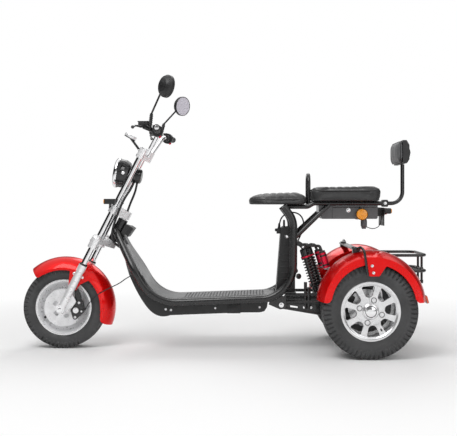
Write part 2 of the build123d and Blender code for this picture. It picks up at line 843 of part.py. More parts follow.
# ---------------------------------------------------------------- rear axle and suspension
tube_end = rear_wheel_y - 78
stub_end = rear_wheel_y + 84
with BuildPart() as rear_axle:
    rod((rear_axle_x, -motor_half_width, rear_axle_z), (rear_axle_x, motor_half_width, rear_axle_z), motor_diameter)
    for side in (-1, 1):
        tube_root = Vector(rear_axle_x, side * motor_half_width, rear_axle_z)
        tube_tip = Vector(rear_axle_x, side * tube_end, rear_axle_z)
        rod(tube_root, tube_tip, axle_tube_diameter)
        rod(tube_tip, Vector(rear_axle_x, side * stub_end, rear_axle_z), rear_stub_diameter)

rail_rear_x = rear_axle_x - 40
with BuildPart() as swing_arm:
    for side in (-1, 1):
        y = side * swing_arm_half_width
        rod((300, y, 275), (rear_axle_x - 10, y, 275), 16)
        rod((pivot_x, y, 238), (rear_axle_x, y, 238), 22)
        rod((pivot_x, y, 212), (rail_rear_x, y, 150), 14)
        plate = sorted((y - 3, y + 3))
        side_slab([(pivot_x + 18, 252), (rail_rear_x, 252), (rail_rear_x, 152), (pivot_x + 18, 206)], *plate)
        side_slab([(335, 222), (372, 218), (372, 208), (335, 213)], *sorted((y - 4, y + 4)), mode=Mode.SUBTRACT)
    rod((428.5, -swing_arm_half_width, 205), (428.5, -swing_arm_half_width, 312), 18)
    rod((411, -swing_arm_half_width, 205), (411, -swing_arm_half_width, 337), 16)
    rod((pivot_x, -118, pivot_z), (pivot_x, 118, pivot_z), 34)
    rod((470, -swing_arm_half_width, 275), (470, swing_arm_half_width, 275), 14)
    rod((500, 0, 275), (500, swing_arm_half_width, 275), 14)
    rod((rail_rear_x, -swing_arm_half_width, 150), (rail_rear_x, swing_arm_half_width, 150), 14)
    add(rear_axle.part, mode=Mode.SUBTRACT)
    add(frame_crossmembers.part, mode=Mode.SUBTRACT)

shock_top = Vector(399, 0, 511)
shock_bottom = Vector(470, 0, 275)
shock_length = (shock_bottom - shock_top).length
shock_dir = (shock_bottom - shock_top).normalized()
reservoir_top = Vector(498, 0, 480)
spring_start, spring_end = 58.0, 196.0
coil_radius = 20.0
coil_wire = 7.0
coil_pitch = 14.5
# Each shock: its distance from the middle, its setback and its reservoir's setback.
shock_places = ((-58, 0, 0), (58, 30, -15))

with BuildPart() as shock_reservoirs:
    for y, _, setback in shock_places:
        start = reservoir_top + Vector(setback, y, 0)
        rod(start, start + shock_dir * 78, 34)

with BuildPart() as shocks:
    for y, setback, reservoir_setback in shock_places:
        top = shock_top + Vector(setback, y, 0)
        bottom = shock_bottom + Vector(setback, y, 0)
        rod(top + Vector(0, -22, 0), top + Vector(0, 22, 0), 22)
        rod(bottom + Vector(0, -22, 0), bottom + Vector(0, 22, 0), 28)
        rod(top, top + shock_dir * 20, 20)
        turned(
            top,
            shock_dir,
            [
                (0, 12),
                (17, 12),
                (20, 18),
                (20, 46),
                (23, 49),
                (23, spring_start),
                (13, spring_start),
                (13, spring_end),
                (22, spring_end),
                (22, spring_end + 7),
                (14, spring_end + 14),
                (12, shock_length),
                (0, shock_length),
            ],
        )
        reservoir = reservoir_top + Vector(reservoir_setback, y, 0)
        bent_tube(
            [
                top + Vector(4, 0, -14),
                top + Vector(16, 0, 6),
                reservoir + Vector(-14, 0, 34),
                reservoir + shock_dir * 2,
            ],
            14,
            bend=10,
        )
        rod(reservoir - shock_dir * 10, reservoir, 30)
    add(swing_arm.part, mode=Mode.SUBTRACT)
    add(shock_reservoirs.part, mode=Mode.SUBTRACT)
    add(frame_crossmembers.part, mode=Mode.SUBTRACT)

with BuildPart() as shock_springs:
    for y, setback, _ in shock_places:
        foot = shock_top + Vector(setback, y, 0) + shock_dir * (spring_start + coil_wire / 2 + 0.3)
        coil_height = spring_end - spring_start - coil_wire - 0.6
        with BuildLine() as coil:
            Helix(pitch=coil_pitch, height=coil_height, radius=coil_radius, center=foot, direction=shock_dir)
        with BuildSketch(Plane(origin=coil.line @ 0, z_dir=coil.line % 0)) as wire:
            Circle(coil_wire / 2)
        sweep(sections=wire.sketch, path=coil.line, is_frenet=True)

# ---------------------------------------------------------------- rear wheels
rear_bead_half = 80.0
rear_flange_half = rear_bead_half + flange_thickness
rear_hub_half = 57.0
rear_hub_radius = 40.0
rear_disc_radius = 90.0
rear_bore_radius = rear_stub_diameter / 2 + running_fit
spoke_count = 8
spoke_angle = 6.0
rear_rim_section = [
    (rear_bead_half, bead_radius),
    (rear_bead_half, flange_radius),
    (rear_flange_half, flange_radius),
    (rear_flange_half, bead_radius - 2),
    (rear_bead_half - 6, bead_radius - 5),
    (rear_bead_half - 20, bead_radius - 7),
    (-rear_bead_half + 6, bead_radius - 7),
    (-rear_flange_half, bead_radius - 2),
    (-rear_flange_half, flange_radius),
    (-rear_bead_half, flange_radius),
    (-rear_bead_half, bead_radius),
]
rear_spoke_section = [
    (-78, 123),
    (-62, 123),
    (-56, 60),
    (-40, rear_hub_radius),
    (rear_hub_half - disc_thickness, rear_hub_radius),
    (rear_hub_half - disc_thickness, rear_disc_radius),
    (rear_hub_half, rear_disc_radius),
    (rear_hub_half, rear_bore_radius),
    (-84, rear_bore_radius),
    (-84, 34),
    (-80, 38),
    (-80, 66),
]

with BuildPart() as left_rear_tyre:
    rear_tyre_section = tyre_section(
        rear_axle_x,
        rear_axle_z,
        -rear_wheel_y,
        rear_tyre_radius,
        rear_tyre_width,
        rear_bead_half,
        rear_shoulder_drop,
    )
    revolve(rear_tyre_section, axis=rear_hub)
right_rear_tyre = mirrored(left_rear_tyre)

with BuildSketch() as window:
    with Locations((107, -18), (107, 18)):
        Circle(9)
    with Locations((84, 0)):
        Circle(16)
    make_hull()

with BuildPart() as left_rear_rim:
    rim_ring = [(-y, r) for y, r in rear_rim_section]
    revolve(ring_section(rear_axle_x, rear_axle_z, -rear_wheel_y, rim_ring), axis=rear_hub)
    revolve(ring_section(rear_axle_x, rear_axle_z, -rear_wheel_y, rear_spoke_section), axis=rear_hub)
    with BuildSketch(Plane.XZ.offset(rear_wheel_y + 90)) as windows:
        with Locations((rear_axle_x, rear_axle_z)):
            with PolarLocations(0, spoke_count, start_angle=spoke_angle):
                add(window.sketch)
    extrude(windows.sketch, amount=-50, mode=Mode.SUBTRACT)
right_rear_rim = mirrored(left_rear_rim)

caliper_angle = radians(153)
disc_near = rear_wheel_y - rear_hub_half
with BuildPart() as rear_calipers:
    block = Vector(rear_axle_x + 90 * cos(caliper_angle), 0, rear_axle_z + 90 * sin(caliper_angle))
    with BuildSketch(Plane.XZ.offset(disc_near - 18)) as block_face:
        with Locations((block.X, block.Z)):
            RectangleRounded(33, 46, 9, rotation=-27)
    extrude(block_face.sketch, amount=40)
    with BuildSketch(Plane.XZ.offset(disc_near - 26)) as arm_face:
        with Locations((rear_axle_x, rear_axle_z)):
            Circle(axle_tube_diameter / 2 + 7)
        with Locations((block.X, block.Z)):
            Circle(15)
        make_hull()
    extrude(arm_face.sketch, amount=9)
    with BuildSketch(Plane.XZ.offset(disc_near - disc_gap)) as rotor_slot:
        with Locations((rear_axle_x, rear_axle_z)):
            Circle(rear_disc_radius + disc_gap)
    extrude(rotor_slot.sketch, amount=disc_thickness + 2 * disc_gap, mode=Mode.SUBTRACT)
    mirror(about=Plane.XZ)
    add(rear_axle.part, mode=Mode.SUBTRACT)

# ---------------------------------------------------------------- rear mudguards and rack
fender_x = rear_axle_x + rear_fender_setback
fender_z = rear_axle_z + rear_fender_rise
fender_outside = rear_wheel_y + rear_fender_width / 2
fender_inside = rear_wheel_y - rear_fender_width / 2
rear_wall = rear_fender_radius - rear_fender_shoulder - rear_fender_lip_radius
fender_half_sweep = 85.0
rear_tab = [
    (-37.5, 203),
    (-27, 151),
    (-19.5, 142),
    (22, 142),
    (29, 147),
    (48, 176),
    (66, 197),
]
with BuildPart() as left_rear_fender:
    fender_axis = Axis((fender_x, 0, fender_z), (0, 1, 0))
    section = fender_section(
        fender_x,
        fender_z,
        -rear_wheel_y,
        rear_fender_radius,
        rear_fender_lip_radius,
        rear_fender_width,
        rear_wall,
    )
    revolve(section, axis=fender_axis, revolution_arc=fender_half_sweep)
    revolve(section, axis=fender_axis, revolution_arc=-fender_half_sweep)
    for angle, inward in ((90 - fender_half_sweep, 1), (90 + fender_half_sweep, -1)):
        round_fender_end(fender_x, fender_z, rear_fender_lip_radius, angle, inward, 18)
    side_slab([(fender_x + x, fender_z + z) for x, z in rear_tab], fender_outside - fender_thickness, fender_outside)
right_rear_fender = mirrored(left_rear_fender)

bar_x, bar_z = rear_axle_x - 60.5, 511.0
stay_drop = fender_z + 149
stay_side = fender_outside + 6.3
with BuildPart() as fender_stays:
    with Locations((bar_x, 0, bar_z)):
        Box(35, rear_track + 60, 6)
    with Locations((bar_x, -rear_wheel_y, bar_z - 9), (bar_x, rear_wheel_y, bar_z - 9)):
        Box(30, 34, 22)
    rod(
        (fender_x, -fender_outside, fender_z),
        (fender_x, fender_outside, fender_z),
        2 * rear_fender_radius - 2,
        mode=Mode.SUBTRACT,
    )
    with BuildSketch(Plane.XZ.offset(fender_inside - 4)) as stay_face:
        with BuildLine():
            Polyline(
                (fender_x - 52, fender_z + rear_fender_lip_radius),
                (rear_axle_x - 24, rear_axle_z),
                (rear_axle_x + 24, rear_axle_z),
                (fender_x + 52, fender_z + rear_fender_lip_radius),
                close=True,
            )
        make_face()
        with Locations((fender_x, fender_z)):
            Circle(rear_fender_lip_radius + 8, mode=Mode.INTERSECT)
    extrude(stay_face.sketch, amount=7)
    bent_tube(
        [
            (bar_x, -rear_wheel_y - 26, bar_z),
            (bar_x + 12, -rear_wheel_y - 76, bar_z + 13),
            (bar_x + 25, -stay_side, bar_z + 3),
            (bar_x + 42, -stay_side, stay_drop),
        ],
        12,
        bend=[30, 26],
    )
    mirror(about=Plane.XZ)
    add(rear_axle.part, mode=Mode.SUBTRACT)
    add(left_rear_fender.part, mode=Mode.SUBTRACT)
    add(right_rear_fender.part, mode=Mode.SUBTRACT)

reflector_lean = radians(15)
with BuildPart() as rear_reflectors:
    guard_end = Vector(
        fender_x + (rear_fender_radius + 2) * cos(radians(90 - fender_half_sweep)),
        -rear_wheel_y,
        fender_z + (rear_fender_radius + 2) * sin(radians(90 - fender_half_sweep)),
    )
    lean = Plane(origin=guard_end, x_dir=(0, 1, 0), z_dir=(cos(reflector_lean), 0, sin(reflector_lean)))
    with BuildSketch(lean) as reflector_back:
        RectangleRounded(56, 36, 8)
    extrude(reflector_back.sketch, amount=9)
    mirror(about=Plane.XZ)
    add(left_rear_fender.part, mode=Mode.SUBTRACT)
    add(right_rear_fender.part, mode=Mode.SUBTRACT)

rack_front_x, rack_rear_x = rear_axle_x - 8.5, rear_axle_x + 300.5
rack_middle_x = rear_axle_x + 141.5
post_y = 45.0
with BuildPart() as cargo_rack:
    for z in (rack_top_z, rack_floor_z):
        bent_tube(
            [
                (rack_front_x, 0, z),
                (rack_front_x, -rack_half_width, z),
                (rack_rear_x, -rack_half_width, z),
                (rack_rear_x, 0, z),
            ],
            rack_bar_diameter,
            bend=40,
        )
    for x, y in ((rack_front_x, post_y), (rack_middle_x, rack_half_width), (rack_rear_x, post_y)):
        rod((x, -y, rack_floor_z), (x, -y, rack_top_z), 12)
    rod((rack_rear_x, -post_y, rack_floor_z), (rack_rear_x, -post_y, 330), 12)
    rod((rack_front_x, -post_y, rack_floor_z), (rack_rear_x, -post_y, rack_floor_z), 10)
    rod((rack_front_x, -100, rack_floor_z), (rear_axle_x, -100, rear_axle_z + 25), 14)
    mirror(about=Plane.XZ)
    add(rear_axle.part, mode=Mode.SUBTRACT)
    add(swing_arm.part, mode=Mode.SUBTRACT)
    add(fender_stays.part, mode=Mode.SUBTRACT)

# ---------------------------------------------------------------- cords
# Each route is chosen by hand, from where the cord leaves one piece to where it enters another.
with BuildPart() as front_brake_hose:
    cord_tube(
        [
            hose_fitting,
            (-664, -89, 237),
            (-619, -90, 277),
            (-571, -91, 303),
            (-511, -93, 331),
            (-484, -94, 353),
            (-456, -95, 368),
        ],
        5,
    )
    add(front_caliper.part, mode=Mode.SUBTRACT)
    add(belly_pan.part, mode=Mode.SUBTRACT)

with BuildPart() as wiring_loom:
    cord_tube(
        [
            (-452, -24, 836),
            (-462, -44, 803),
            (-487, -66, 763),
            (-509, -73, 718),
            (-527, -75, 671),
            (-544, -74, 624),
            (-555, -69, 584),
            (-556, -59, 549),
            (-540, -47, 519),
            (-505, -36, 498),
        ],
        12,
    )
    add(headlight_bucket.part, mode=Mode.SUBTRACT)
    add(belly_pan.part, mode=Mode.SUBTRACT)

with BuildPart() as stem_loom:
    cord_tube(
        [
            (-440, 0, 832),
            (-446, 0, 797),
            (-459, 0, 762),
            (-474, 0, 728),
            on_fork(steering_offset, 0, middle_clamp_height + middle_clamp_thickness - 2),
        ],
        11,
    )
    add(headlight_bucket.part, mode=Mode.SUBTRACT)
    add(middle_clamp.part, mode=Mode.SUBTRACT)
    add(lower_crown.part, mode=Mode.SUBTRACT)

with BuildPart() as battery_cable:
    cord_tube(
        [
            (282, plug_y, 600),
            (283, plug_y, 638),
            (306, plug_y, 672),
            (350, plug_y, 686),
            (392, plug_y, 670),
            (408, plug_y, 628),
            (399, plug_y, 586),
            (377, plug_y, 540),
        ],
        7,
    )
    add(battery.part, mode=Mode.SUBTRACT)
    add(frame_crossmembers.part, mode=Mode.SUBTRACT)

with BuildPart() as tail_wire:
    cord_tube(
        [
            (716, -60, 612),
            (734, -59, 603),
            (758, -57, 600),
            (783, -53, 611),
            (795, -48, 636),
            (797, -44, 668),
        ],
        4,
    )
    add(under_seat_box.part, mode=Mode.SUBTRACT)
    add(plate_holder.part, mode=Mode.SUBTRACT)

pieces = {
    "front_tyre": front_tyre,
    "front_rim": front_rim,
    "front_disc": front_disc,
    "fork_lowers": fork_lowers,
    "front_axle": front_axle,
    "fork_tubes": fork_tubes,
    "lower_crown": lower_crown,
    "middle_clamp": middle_clamp,
    "top_clamp": top_clamp,
    "handlebar": handlebar,
    "grips": grips,
    "switch_housings": switch_housings,
    "brake_levers": brake_levers,
    "mirrors": mirrors,
    "mirror_glass": mirror_glass,
    "headlight_bucket": headlight_bucket,
    "headlight_lens": headlight_lens,
    "front_turn_signals": front_turn_signals,
    "speedometer": speedometer,
    "front_fender": front_fender,
    "front_caliper": front_caliper,
    "head_tube": head_tube,
    "left_frame_tube": left_frame_tube,
    "right_frame_tube": right_frame_tube,
    "head_console": head_console,
    "floorboard": floorboard,
    "belly_pan": belly_pan,
    "battery": battery,
    "frame_crossmembers": frame_crossmembers,
    "seat_frame": seat_frame,
    "front_seat": front_seat,
    "rear_seat": rear_seat,
    "grab_handle": grab_handle,
    "under_seat_box": under_seat_box,
    "side_reflectors": side_reflectors,
    "plate_holder": plate_holder,
    "tail_light": tail_light,
    "backrest_post": backrest_post,
    "backrest_shell": backrest_shell,
    "backrest_pad": backrest_pad,
    "rear_axle": rear_axle,
    "swing_arm": swing_arm,
    "shocks": shocks,
    "shock_springs": shock_springs,
    "shock_reservoirs": shock_reservoirs,
    "left_rear_tyre": left_rear_tyre,
    "right_rear_tyre": right_rear_tyre,
    "left_rear_rim": left_rear_rim,
    "right_rear_rim": right_rear_rim,
    "rear_calipers": rear_calipers,
    "left_rear_fender": left_rear_fender,
    "right_rear_fender": right_rear_fender,
    "rear_reflectors": rear_reflectors,
    "fender_stays": fender_stays,
    "cargo_rack": cargo_rack,
    "front_brake_hose": front_brake_hose,
    "wiring_loom": wiring_loom,
    "stem_loom": stem_loom,
    "battery_cable": battery_cable,
    "tail_wire": tail_wire,
}
os.makedirs("parts", exist_ok=True)
for name, piece in pieces.items():
    piece.part.label = name
    export_step(piece.part, f"parts/{name}.step")
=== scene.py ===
"""Visual model of a three-wheeled electric scooter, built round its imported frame.

Lengths are in metres. The front wheel points towards -X, the rider's left is -Y and the
ground is Z = 0. Wheels, seats, rack and mudguards take their places from the frame's nodes.
Small fittings stand at places measured in the same frame.
"""
import json
from math import atan2, cos, exp, pi, radians, sin, tau

import bmesh
import bpy
from mathutils import Matrix, Vector
from mathutils.bvhtree import BVHTree
from mathutils.geometry import convex_hull_2d


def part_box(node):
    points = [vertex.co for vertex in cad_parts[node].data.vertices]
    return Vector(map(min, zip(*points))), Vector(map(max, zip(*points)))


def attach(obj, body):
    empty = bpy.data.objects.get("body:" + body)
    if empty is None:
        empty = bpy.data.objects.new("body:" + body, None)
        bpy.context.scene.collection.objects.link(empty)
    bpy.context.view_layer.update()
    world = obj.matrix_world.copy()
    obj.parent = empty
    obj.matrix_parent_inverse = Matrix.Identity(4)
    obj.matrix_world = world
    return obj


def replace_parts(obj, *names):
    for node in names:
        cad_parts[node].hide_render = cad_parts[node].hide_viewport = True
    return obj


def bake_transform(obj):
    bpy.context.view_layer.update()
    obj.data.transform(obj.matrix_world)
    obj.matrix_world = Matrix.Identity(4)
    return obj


bl_info = {
    "name": "Three-wheeled scooter",
    "version": (1, 0, 0),
    "blender": (4, 5, 0),
    "location": "View3D > Sidebar > Scooter",
    "description": "Builds the finished look of a three-wheeled electric scooter on its frame",
    "category": "Object",
}

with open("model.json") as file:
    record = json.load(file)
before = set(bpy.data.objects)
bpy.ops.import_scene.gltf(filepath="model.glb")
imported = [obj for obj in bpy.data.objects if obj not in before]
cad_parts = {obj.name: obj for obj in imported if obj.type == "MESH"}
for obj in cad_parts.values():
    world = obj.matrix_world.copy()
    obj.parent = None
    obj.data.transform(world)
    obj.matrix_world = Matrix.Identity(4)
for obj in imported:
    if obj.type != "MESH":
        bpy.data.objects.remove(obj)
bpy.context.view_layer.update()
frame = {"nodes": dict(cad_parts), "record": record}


# ---------------------------------------------------------------- shared places
def middle(node):
    """The middle of a node's box."""
    low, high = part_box(node)
    return (low + high) / 2


RAKE = radians(27)
FORK_UP = Vector((sin(RAKE), 0, cos(RAKE)))
FORK_BACK = Vector((cos(RAKE), 0, -sin(RAKE)))
SIDE = Vector((0, 1, 0))
UP = Vector((0, 0, 1))
FRONT_HUB = middle("front_tyre")
REAR_HUBS = {side: middle(f"{side}_rear_tyre") for side in ("left", "right")}
OUTWARDS = {"left": -1, "right": 1}


def on_fork(back, side, up):
    """The place that lies behind, beside and up along the plane of the fork legs."""
    return FRONT_HUB + FORK_BACK * back + SIDE * side + FORK_UP * up


# ---------------------------------------------------------------- settings
def colour(name, description, value):
    """A colour property with its default."""
    return bpy.props.FloatVectorProperty(
        name=name, description=description, default=value, subtype="COLOR", size=3, min=0, max=1
    )


def length(name, description, value):
    """A length property in metres with its default."""
    return bpy.props.FloatProperty(name=name, description=description, default=value, unit="LENGTH", min=0)


class ScooterColours(bpy.types.PropertyGroup):
    """The paint, rubber, leather and lens colours."""

    paint: colour("Paint", "Gloss paint of the mudguards", (0.80, 0.003, 0.003))
    rubber: colour("Rubber", "Tyre rubber", (0.048, 0.048, 0.049))
    alloy: colour("Alloy", "Cast wheels, fork legs and clamps", (0.90, 0.90, 0.91))
    black: colour("Black metal", "Powder-coated frame tubes and brackets", (0.012, 0.012, 0.0125))
    plastic: colour("Black plastic", "Moulded covers", (0.014, 0.014, 0.0145))
    deck: colour("Deck", "Footboard panel and under-seat box", (0.085, 0.086, 0.089))
    leather: colour("Seat cover", "Cover of both seats", (0.018, 0.018, 0.0185))
    backrest: colour("Backrest cover", "Cover of the backrest pad", (0.11, 0.112, 0.116))
    amber: colour("Amber", "Turn signals and side reflectors", (1.0, 0.36, 0.006))
    red_lens: colour("Red lens", "Tail light", (0.55, 0.02, 0.03))
    orange: colour("Orange lens", "Rear reflectors", (0.95, 0.13, 0.03))
    anodised: colour("Anodised red", "Reservoirs and spring seats", (0.75, 0.015, 0.06))
    cord: colour("Cord", "Cable and hose covers", (0.014, 0.014, 0.015))


class ScooterStage(bpy.types.PropertyGroup):
    """The camera and the floor."""

    camera_place: bpy.props.FloatVectorProperty(
        name="Camera place",
        description="Where the camera stands",
        default=(0.1655, -4.0, 0.7294),
        subtype="XYZ",
        unit="LENGTH",
        size=3,
    )
    camera_shift: bpy.props.FloatVectorProperty(
        name="Camera shift",
        description="Shift of the frame as a share of its width",
        default=(-0.0602, -0.0328),
        size=2,
    )
    camera_lens: bpy.props.FloatProperty(
        name="Lens", description="Focal length on a 36 mm wide sensor", default=61.9, unit="CAMERA"
    )
    floor_colour: colour("Floor", "Floor round the scooter", (0.97, 0.97, 0.97))


class ScooterSizes(bpy.types.PropertyGroup):
    """Sizes of the tread and the padding."""

    groove_depth: length("Groove depth", "Depth of the tread grooves", 0.005)
    front_pitches: bpy.props.IntProperty(
        name="Front pitches", description="Tread blocks round the front tyre", default=56, min=12
    )
    rear_pitches: bpy.props.IntProperty(
        name="Rear pitches", description="Tread blocks round each rear tyre", default=60, min=12
    )
    seat_swell: length("Seat swell", "How far the padding may swell", 0.010)


# ---------------------------------------------------------------- materials
def main_shader(made):
    """The main shader of a material."""
    return made.node_tree.nodes["Principled BSDF"]


def new_material(name):
    """A material with its node tree and its main shader."""
    made = bpy.data.materials.new(name)
    made.use_nodes = True
    return made, made.node_tree, main_shader(made)


def place_node(tree, stretch=(1, 1, 1)):
    """Object coordinates, stretched along each axis."""
    source = tree.nodes.new("ShaderNodeTexCoord")
    mapping = tree.nodes.new("ShaderNodeMapping")
    mapping.inputs["Scale"].default_value = stretch
    tree.links.new(source.outputs["Object"], mapping.inputs["Vector"])
    return mapping.outputs["Vector"]


def noise_node(tree, where, scale, detail=4.0):
    """Noise at so many waves in a metre."""
    made = tree.nodes.new("ShaderNodeTexNoise")
    made.inputs["Scale"].default_value = scale
    made.inputs["Detail"].default_value = detail
    made.inputs["Roughness"].default_value = 0.55
    tree.links.new(where, made.inputs["Vector"])
    return made.outputs["Fac"]


def cell_node(tree, where, scale, feature="DISTANCE_TO_EDGE"):
    """Cells at so many in a metre, measured from their edges."""
    made = tree.nodes.new("ShaderNodeTexVoronoi")
    made.feature = feature
    made.inputs["Scale"].default_value = scale
    tree.links.new(where, made.inputs["Vector"])
    return made.outputs["Distance"]


def range_node(tree, value, low, high, from_low=0.0, from_high=1.0):
    """A value spread between two limits."""
    made = tree.nodes.new("ShaderNodeMapRange")
    made.inputs["From Min"].default_value = from_low
    made.inputs["From Max"].default_value = from_high
    made.inputs["To Min"].default_value = low
    made.inputs["To Max"].default_value = high
    tree.links.new(value, made.inputs["Value"])
    return made.outputs["Result"]


def shade(base, factor):
    """A colour made darker or lighter."""
    return tuple(min(1.0, part * factor) for part in base) + (1.0,)


def ramp_node(tree, value, stops):
    """Colours along a value, from pairs of place and colour."""
    made = tree.nodes.new("ShaderNodeValToRGB")
    elements = made.color_ramp.elements
    while len(elements) < len(stops):
        elements.new(0.5)
    for element, (place, tint) in zip(elements, stops):
        element.position = place
        element.color = tint
    tree.links.new(value, made.inputs["Fac"])
    return made.outputs["Color"]


def bump_node(tree, shader, height, strength, distance, below=None):
    """Relief of a height pattern, laid over an earlier one."""
    made = tree.nodes.new("ShaderNodeBump")
    made.inputs["Strength"].default_value = strength
    made.inputs["Distance"].default_value = distance
    tree.links.new(height, made.inputs["Height"])
    if below is not None:
        tree.links.new(below, made.inputs["Normal"])
    tree.links.new(made.outputs["Normal"], shader.inputs["Normal"])
    return made.outputs["Normal"]


def coated(
    name, base, rough, metallic=0.0, mottle=0.12, mottle_scale=9, grain_scale=900, grain=0.1, coat=0.0
):
    """A finish with a faint cloudy tone, uneven gloss and a fine grain."""
    made, tree, shader = new_material(name)
    where = place_node(tree)
    cloud = noise_node(tree, where, mottle_scale)
    tint = ramp_node(tree, cloud, [(0.3, shade(base, 1 - mottle)), (0.7, shade(base, 1 + mottle))])
    tree.links.new(tint, shader.inputs["Base Color"])
    gloss = noise_node(tree, where, mottle_scale * 6, detail=6)
    uneven = range_node(tree, gloss, rough * 0.8, min(1, rough * 1.25), 0.3, 0.7)
    tree.links.new(uneven, shader.inputs["Roughness"])
    shader.inputs["Metallic"].default_value = metallic
    if coat:
        shader.inputs["Coat Weight"].default_value = coat
        shader.inputs["Coat Roughness"].default_value = 0.03
    if grain:
        bump_node(tree, shader, noise_node(tree, where, grain_scale, detail=2), grain, 0.0004)
    return made


def rubber(name, base):
    """Tyre rubber: dark and matt, with dust in its pores."""
    made = coated(name, base, 0.60, mottle=0.3, grain_scale=1400, grain=0.35)
    main_shader(made).inputs["Specular IOR Level"].default_value = 0.45
    return made


def cast_alloy(name, base):
    """Silver lacquer over a casting, with a metal flake."""
    made = coated(name, base, 0.30, metallic=0.45, mottle=0.05, grain=0.0)
    tree, shader = made.node_tree, main_shader(made)
    flake = cell_node(tree, place_node(tree), 2500, "F1")
    bump_node(tree, shader, flake, 0.06, 0.0002)
    shader.inputs["Coat Weight"].default_value = 0.4
    shader.inputs["Coat Roughness"].default_value = 0.12
    return made


def machined_alloy(base):
    """Bright alloy with the fine rings that a lathe leaves."""
    made = coated("machined_alloy", base, 0.22, metallic=0.75, mottle=0.04, grain=0.0)
    tree = made.node_tree
    rings = noise_node(tree, place_node(tree, (20, 1800, 20)), 1.0, detail=2)
    bump_node(tree, main_shader(made), rings, 0.12, 0.0003)
    return made


def brushed_steel():
    """Brake steel, worn bright by the pads."""
    made = coated(
        "brake_steel", (0.80, 0.80, 0.81), 0.32, metallic=0.5, mottle=0.12, mottle_scale=30, grain=0.0
    )
    tree = made.node_tree
    brushing = noise_node(tree, place_node(tree, (900, 900, 60)), 1.0, detail=2)
    bump_node(tree, main_shader(made), brushing, 0.15, 0.0002)
    return made


def chrome():
    """Polished plating with faint smudges."""
    return coated(
        "chrome", (0.90, 0.90, 0.91), 0.06, metallic=1.0, mottle=0.03, mottle_scale=14, grain=0.0
    )


def powder_coat(name, base, rough=0.27, coat=0.3):
    """Black powder coat with a fine orange-peel skin."""
    return coated(name, base, rough, mottle=0.15, grain_scale=520, grain=0.12, coat=coat)


def moulded(name, base, rough=0.42, stipple=700, relief=0.3):
    """Moulded plastic with a stippled skin."""
    return coated(name, base, rough, mottle=0.15, grain_scale=stipple, grain=relief)


def deck_plastic(base):
    """Grey satin plastic of the footboard and the box."""
    made = coated(
        "grey_plastic", base, 0.34, mottle=0.12, mottle_scale=4, grain_scale=900, grain=0.2, coat=0.35
    )
    main_shader(made).inputs["Coat Roughness"].default_value = 0.12
    return made


def gloss_paint(base):
    """Deep gloss paint under clear lacquer."""
    made = coated(
        "red_paint", base, 0.27, metallic=0.5, mottle=0.02, mottle_scale=1.5, grain=0.0, coat=0.5
    )
    shader = main_shader(made)
    shader.inputs["Coat Roughness"].default_value = 0.03
    shader.inputs["Specular IOR Level"].default_value = 0.12
    return made


def anodised(base):
    """Dyed alloy, evenly satin."""
    return coated("red_anodised", base, 0.28, metallic=0.55, mottle=0.05, grain=0.06)


def leather(name, base, rough=0.42):
    """Padded vinyl: pebbled cells, creases and worn high places."""
    made, tree, shader = new_material(name)
    where = place_node(tree)
    cloud = noise_node(tree, where, 12)
    tint = ramp_node(tree, cloud, [(0.3, shade(base, 0.75)), (0.72, shade(base, 1.35))])
    tree.links.new(tint, shader.inputs["Base Color"])
    cells = cell_node(tree, where, 420)
    tree.links.new(range_node(tree, cells, rough * 1.3, rough * 0.85, 0.0, 0.4), shader.inputs["Roughness"])
    folds = noise_node(tree, place_node(tree, (14, 40, 30)), 1.0, detail=7)
    creases = bump_node(tree, shader, folds, 0.5, 0.004)
    bump_node(tree, shader, cells, 0.5, 0.0005, creases)
    shader.inputs["Sheen Weight"].default_value = 0.12
    shader.inputs["Sheen Roughness"].default_value = 0.4
    return made


def lens(name, base, transmission=0.2, rib_scale=260):
    """A coloured lens with small prisms behind its skin."""
    made, tree, shader = new_material(name)
    where = place_node(tree)
    cells = cell_node(tree, where, rib_scale, "F1")
    tint = ramp_node(tree, cells, [(0.0, shade(base, 1.1)), (0.8, shade(base, 0.75))])
    tree.links.new(tint, shader.inputs["Base Color"])
    tree.links.new(range_node(tree, cells, 0.12, 0.216), shader.inputs["Roughness"])
    bump_node(tree, shader, cells, 0.35, 0.0008)
    shader.inputs["Transmission Weight"].default_value = transmission
    shader.inputs["Coat Weight"].default_value = 0.8
    shader.inputs["Coat Roughness"].default_value = 0.03
    return made


def mirror_face():
    """Silvered glass with faint dust."""
    return coated(
        "mirror_glass", (0.78, 0.75, 0.83), 0.05, metallic=0.12, mottle=0.03, mottle_scale=20, grain=0.0
    )


def make_finishes(colours):
    """Every finish of the scooter by the name of its slot."""
    return {
        "tyre_rubber": rubber("tyre_rubber", colours.rubber),
        # The groove floors get the tyre rubber at 0.22 of its brightness: painted shade in the grooves.
        "groove_painted_shade": rubber("groove_painted_shade", shade(colours.rubber, 0.22)[:3]),
        "cast_silver": cast_alloy("cast_silver", colours.alloy),
        "machined_alloy": machined_alloy(shade(colours.alloy, 0.85)[:3]),
        "brake_steel": brushed_steel(),
        "chrome": chrome(),
        "black_metal": powder_coat("black_metal", colours.black),
        "spring_paint": powder_coat("spring_paint", shade(colours.black, 1.6)[:3], 0.22, 0.6),
        "black_plastic": moulded("black_plastic", colours.plastic),
        "grey_plastic": deck_plastic(colours.deck),
        "cord_rubber": moulded("cord_rubber", colours.cord, rough=0.5, stipple=1600, relief=0.15),
        "red_paint": gloss_paint(colours.paint),
        "red_anodised": anodised(colours.anodised),
        "black_leather": leather("black_leather", colours.leather),
        "grey_leather": leather("grey_leather", colours.backrest, 0.5),
        "amber_lens": lens("amber_lens", colours.amber, transmission=0.0),
        "orange_lens": lens("orange_lens", colours.orange),
        "red_lens": lens("red_lens", colours.red_lens),
        "clear_lens": lens("clear_lens", (0.80, 0.82, 0.84), transmission=0.35, rib_scale=120),
        "mirror_glass": mirror_face(),
    }


finishes = {}


# ---------------------------------------------------------------- mesh helpers
WELD = 1e-5


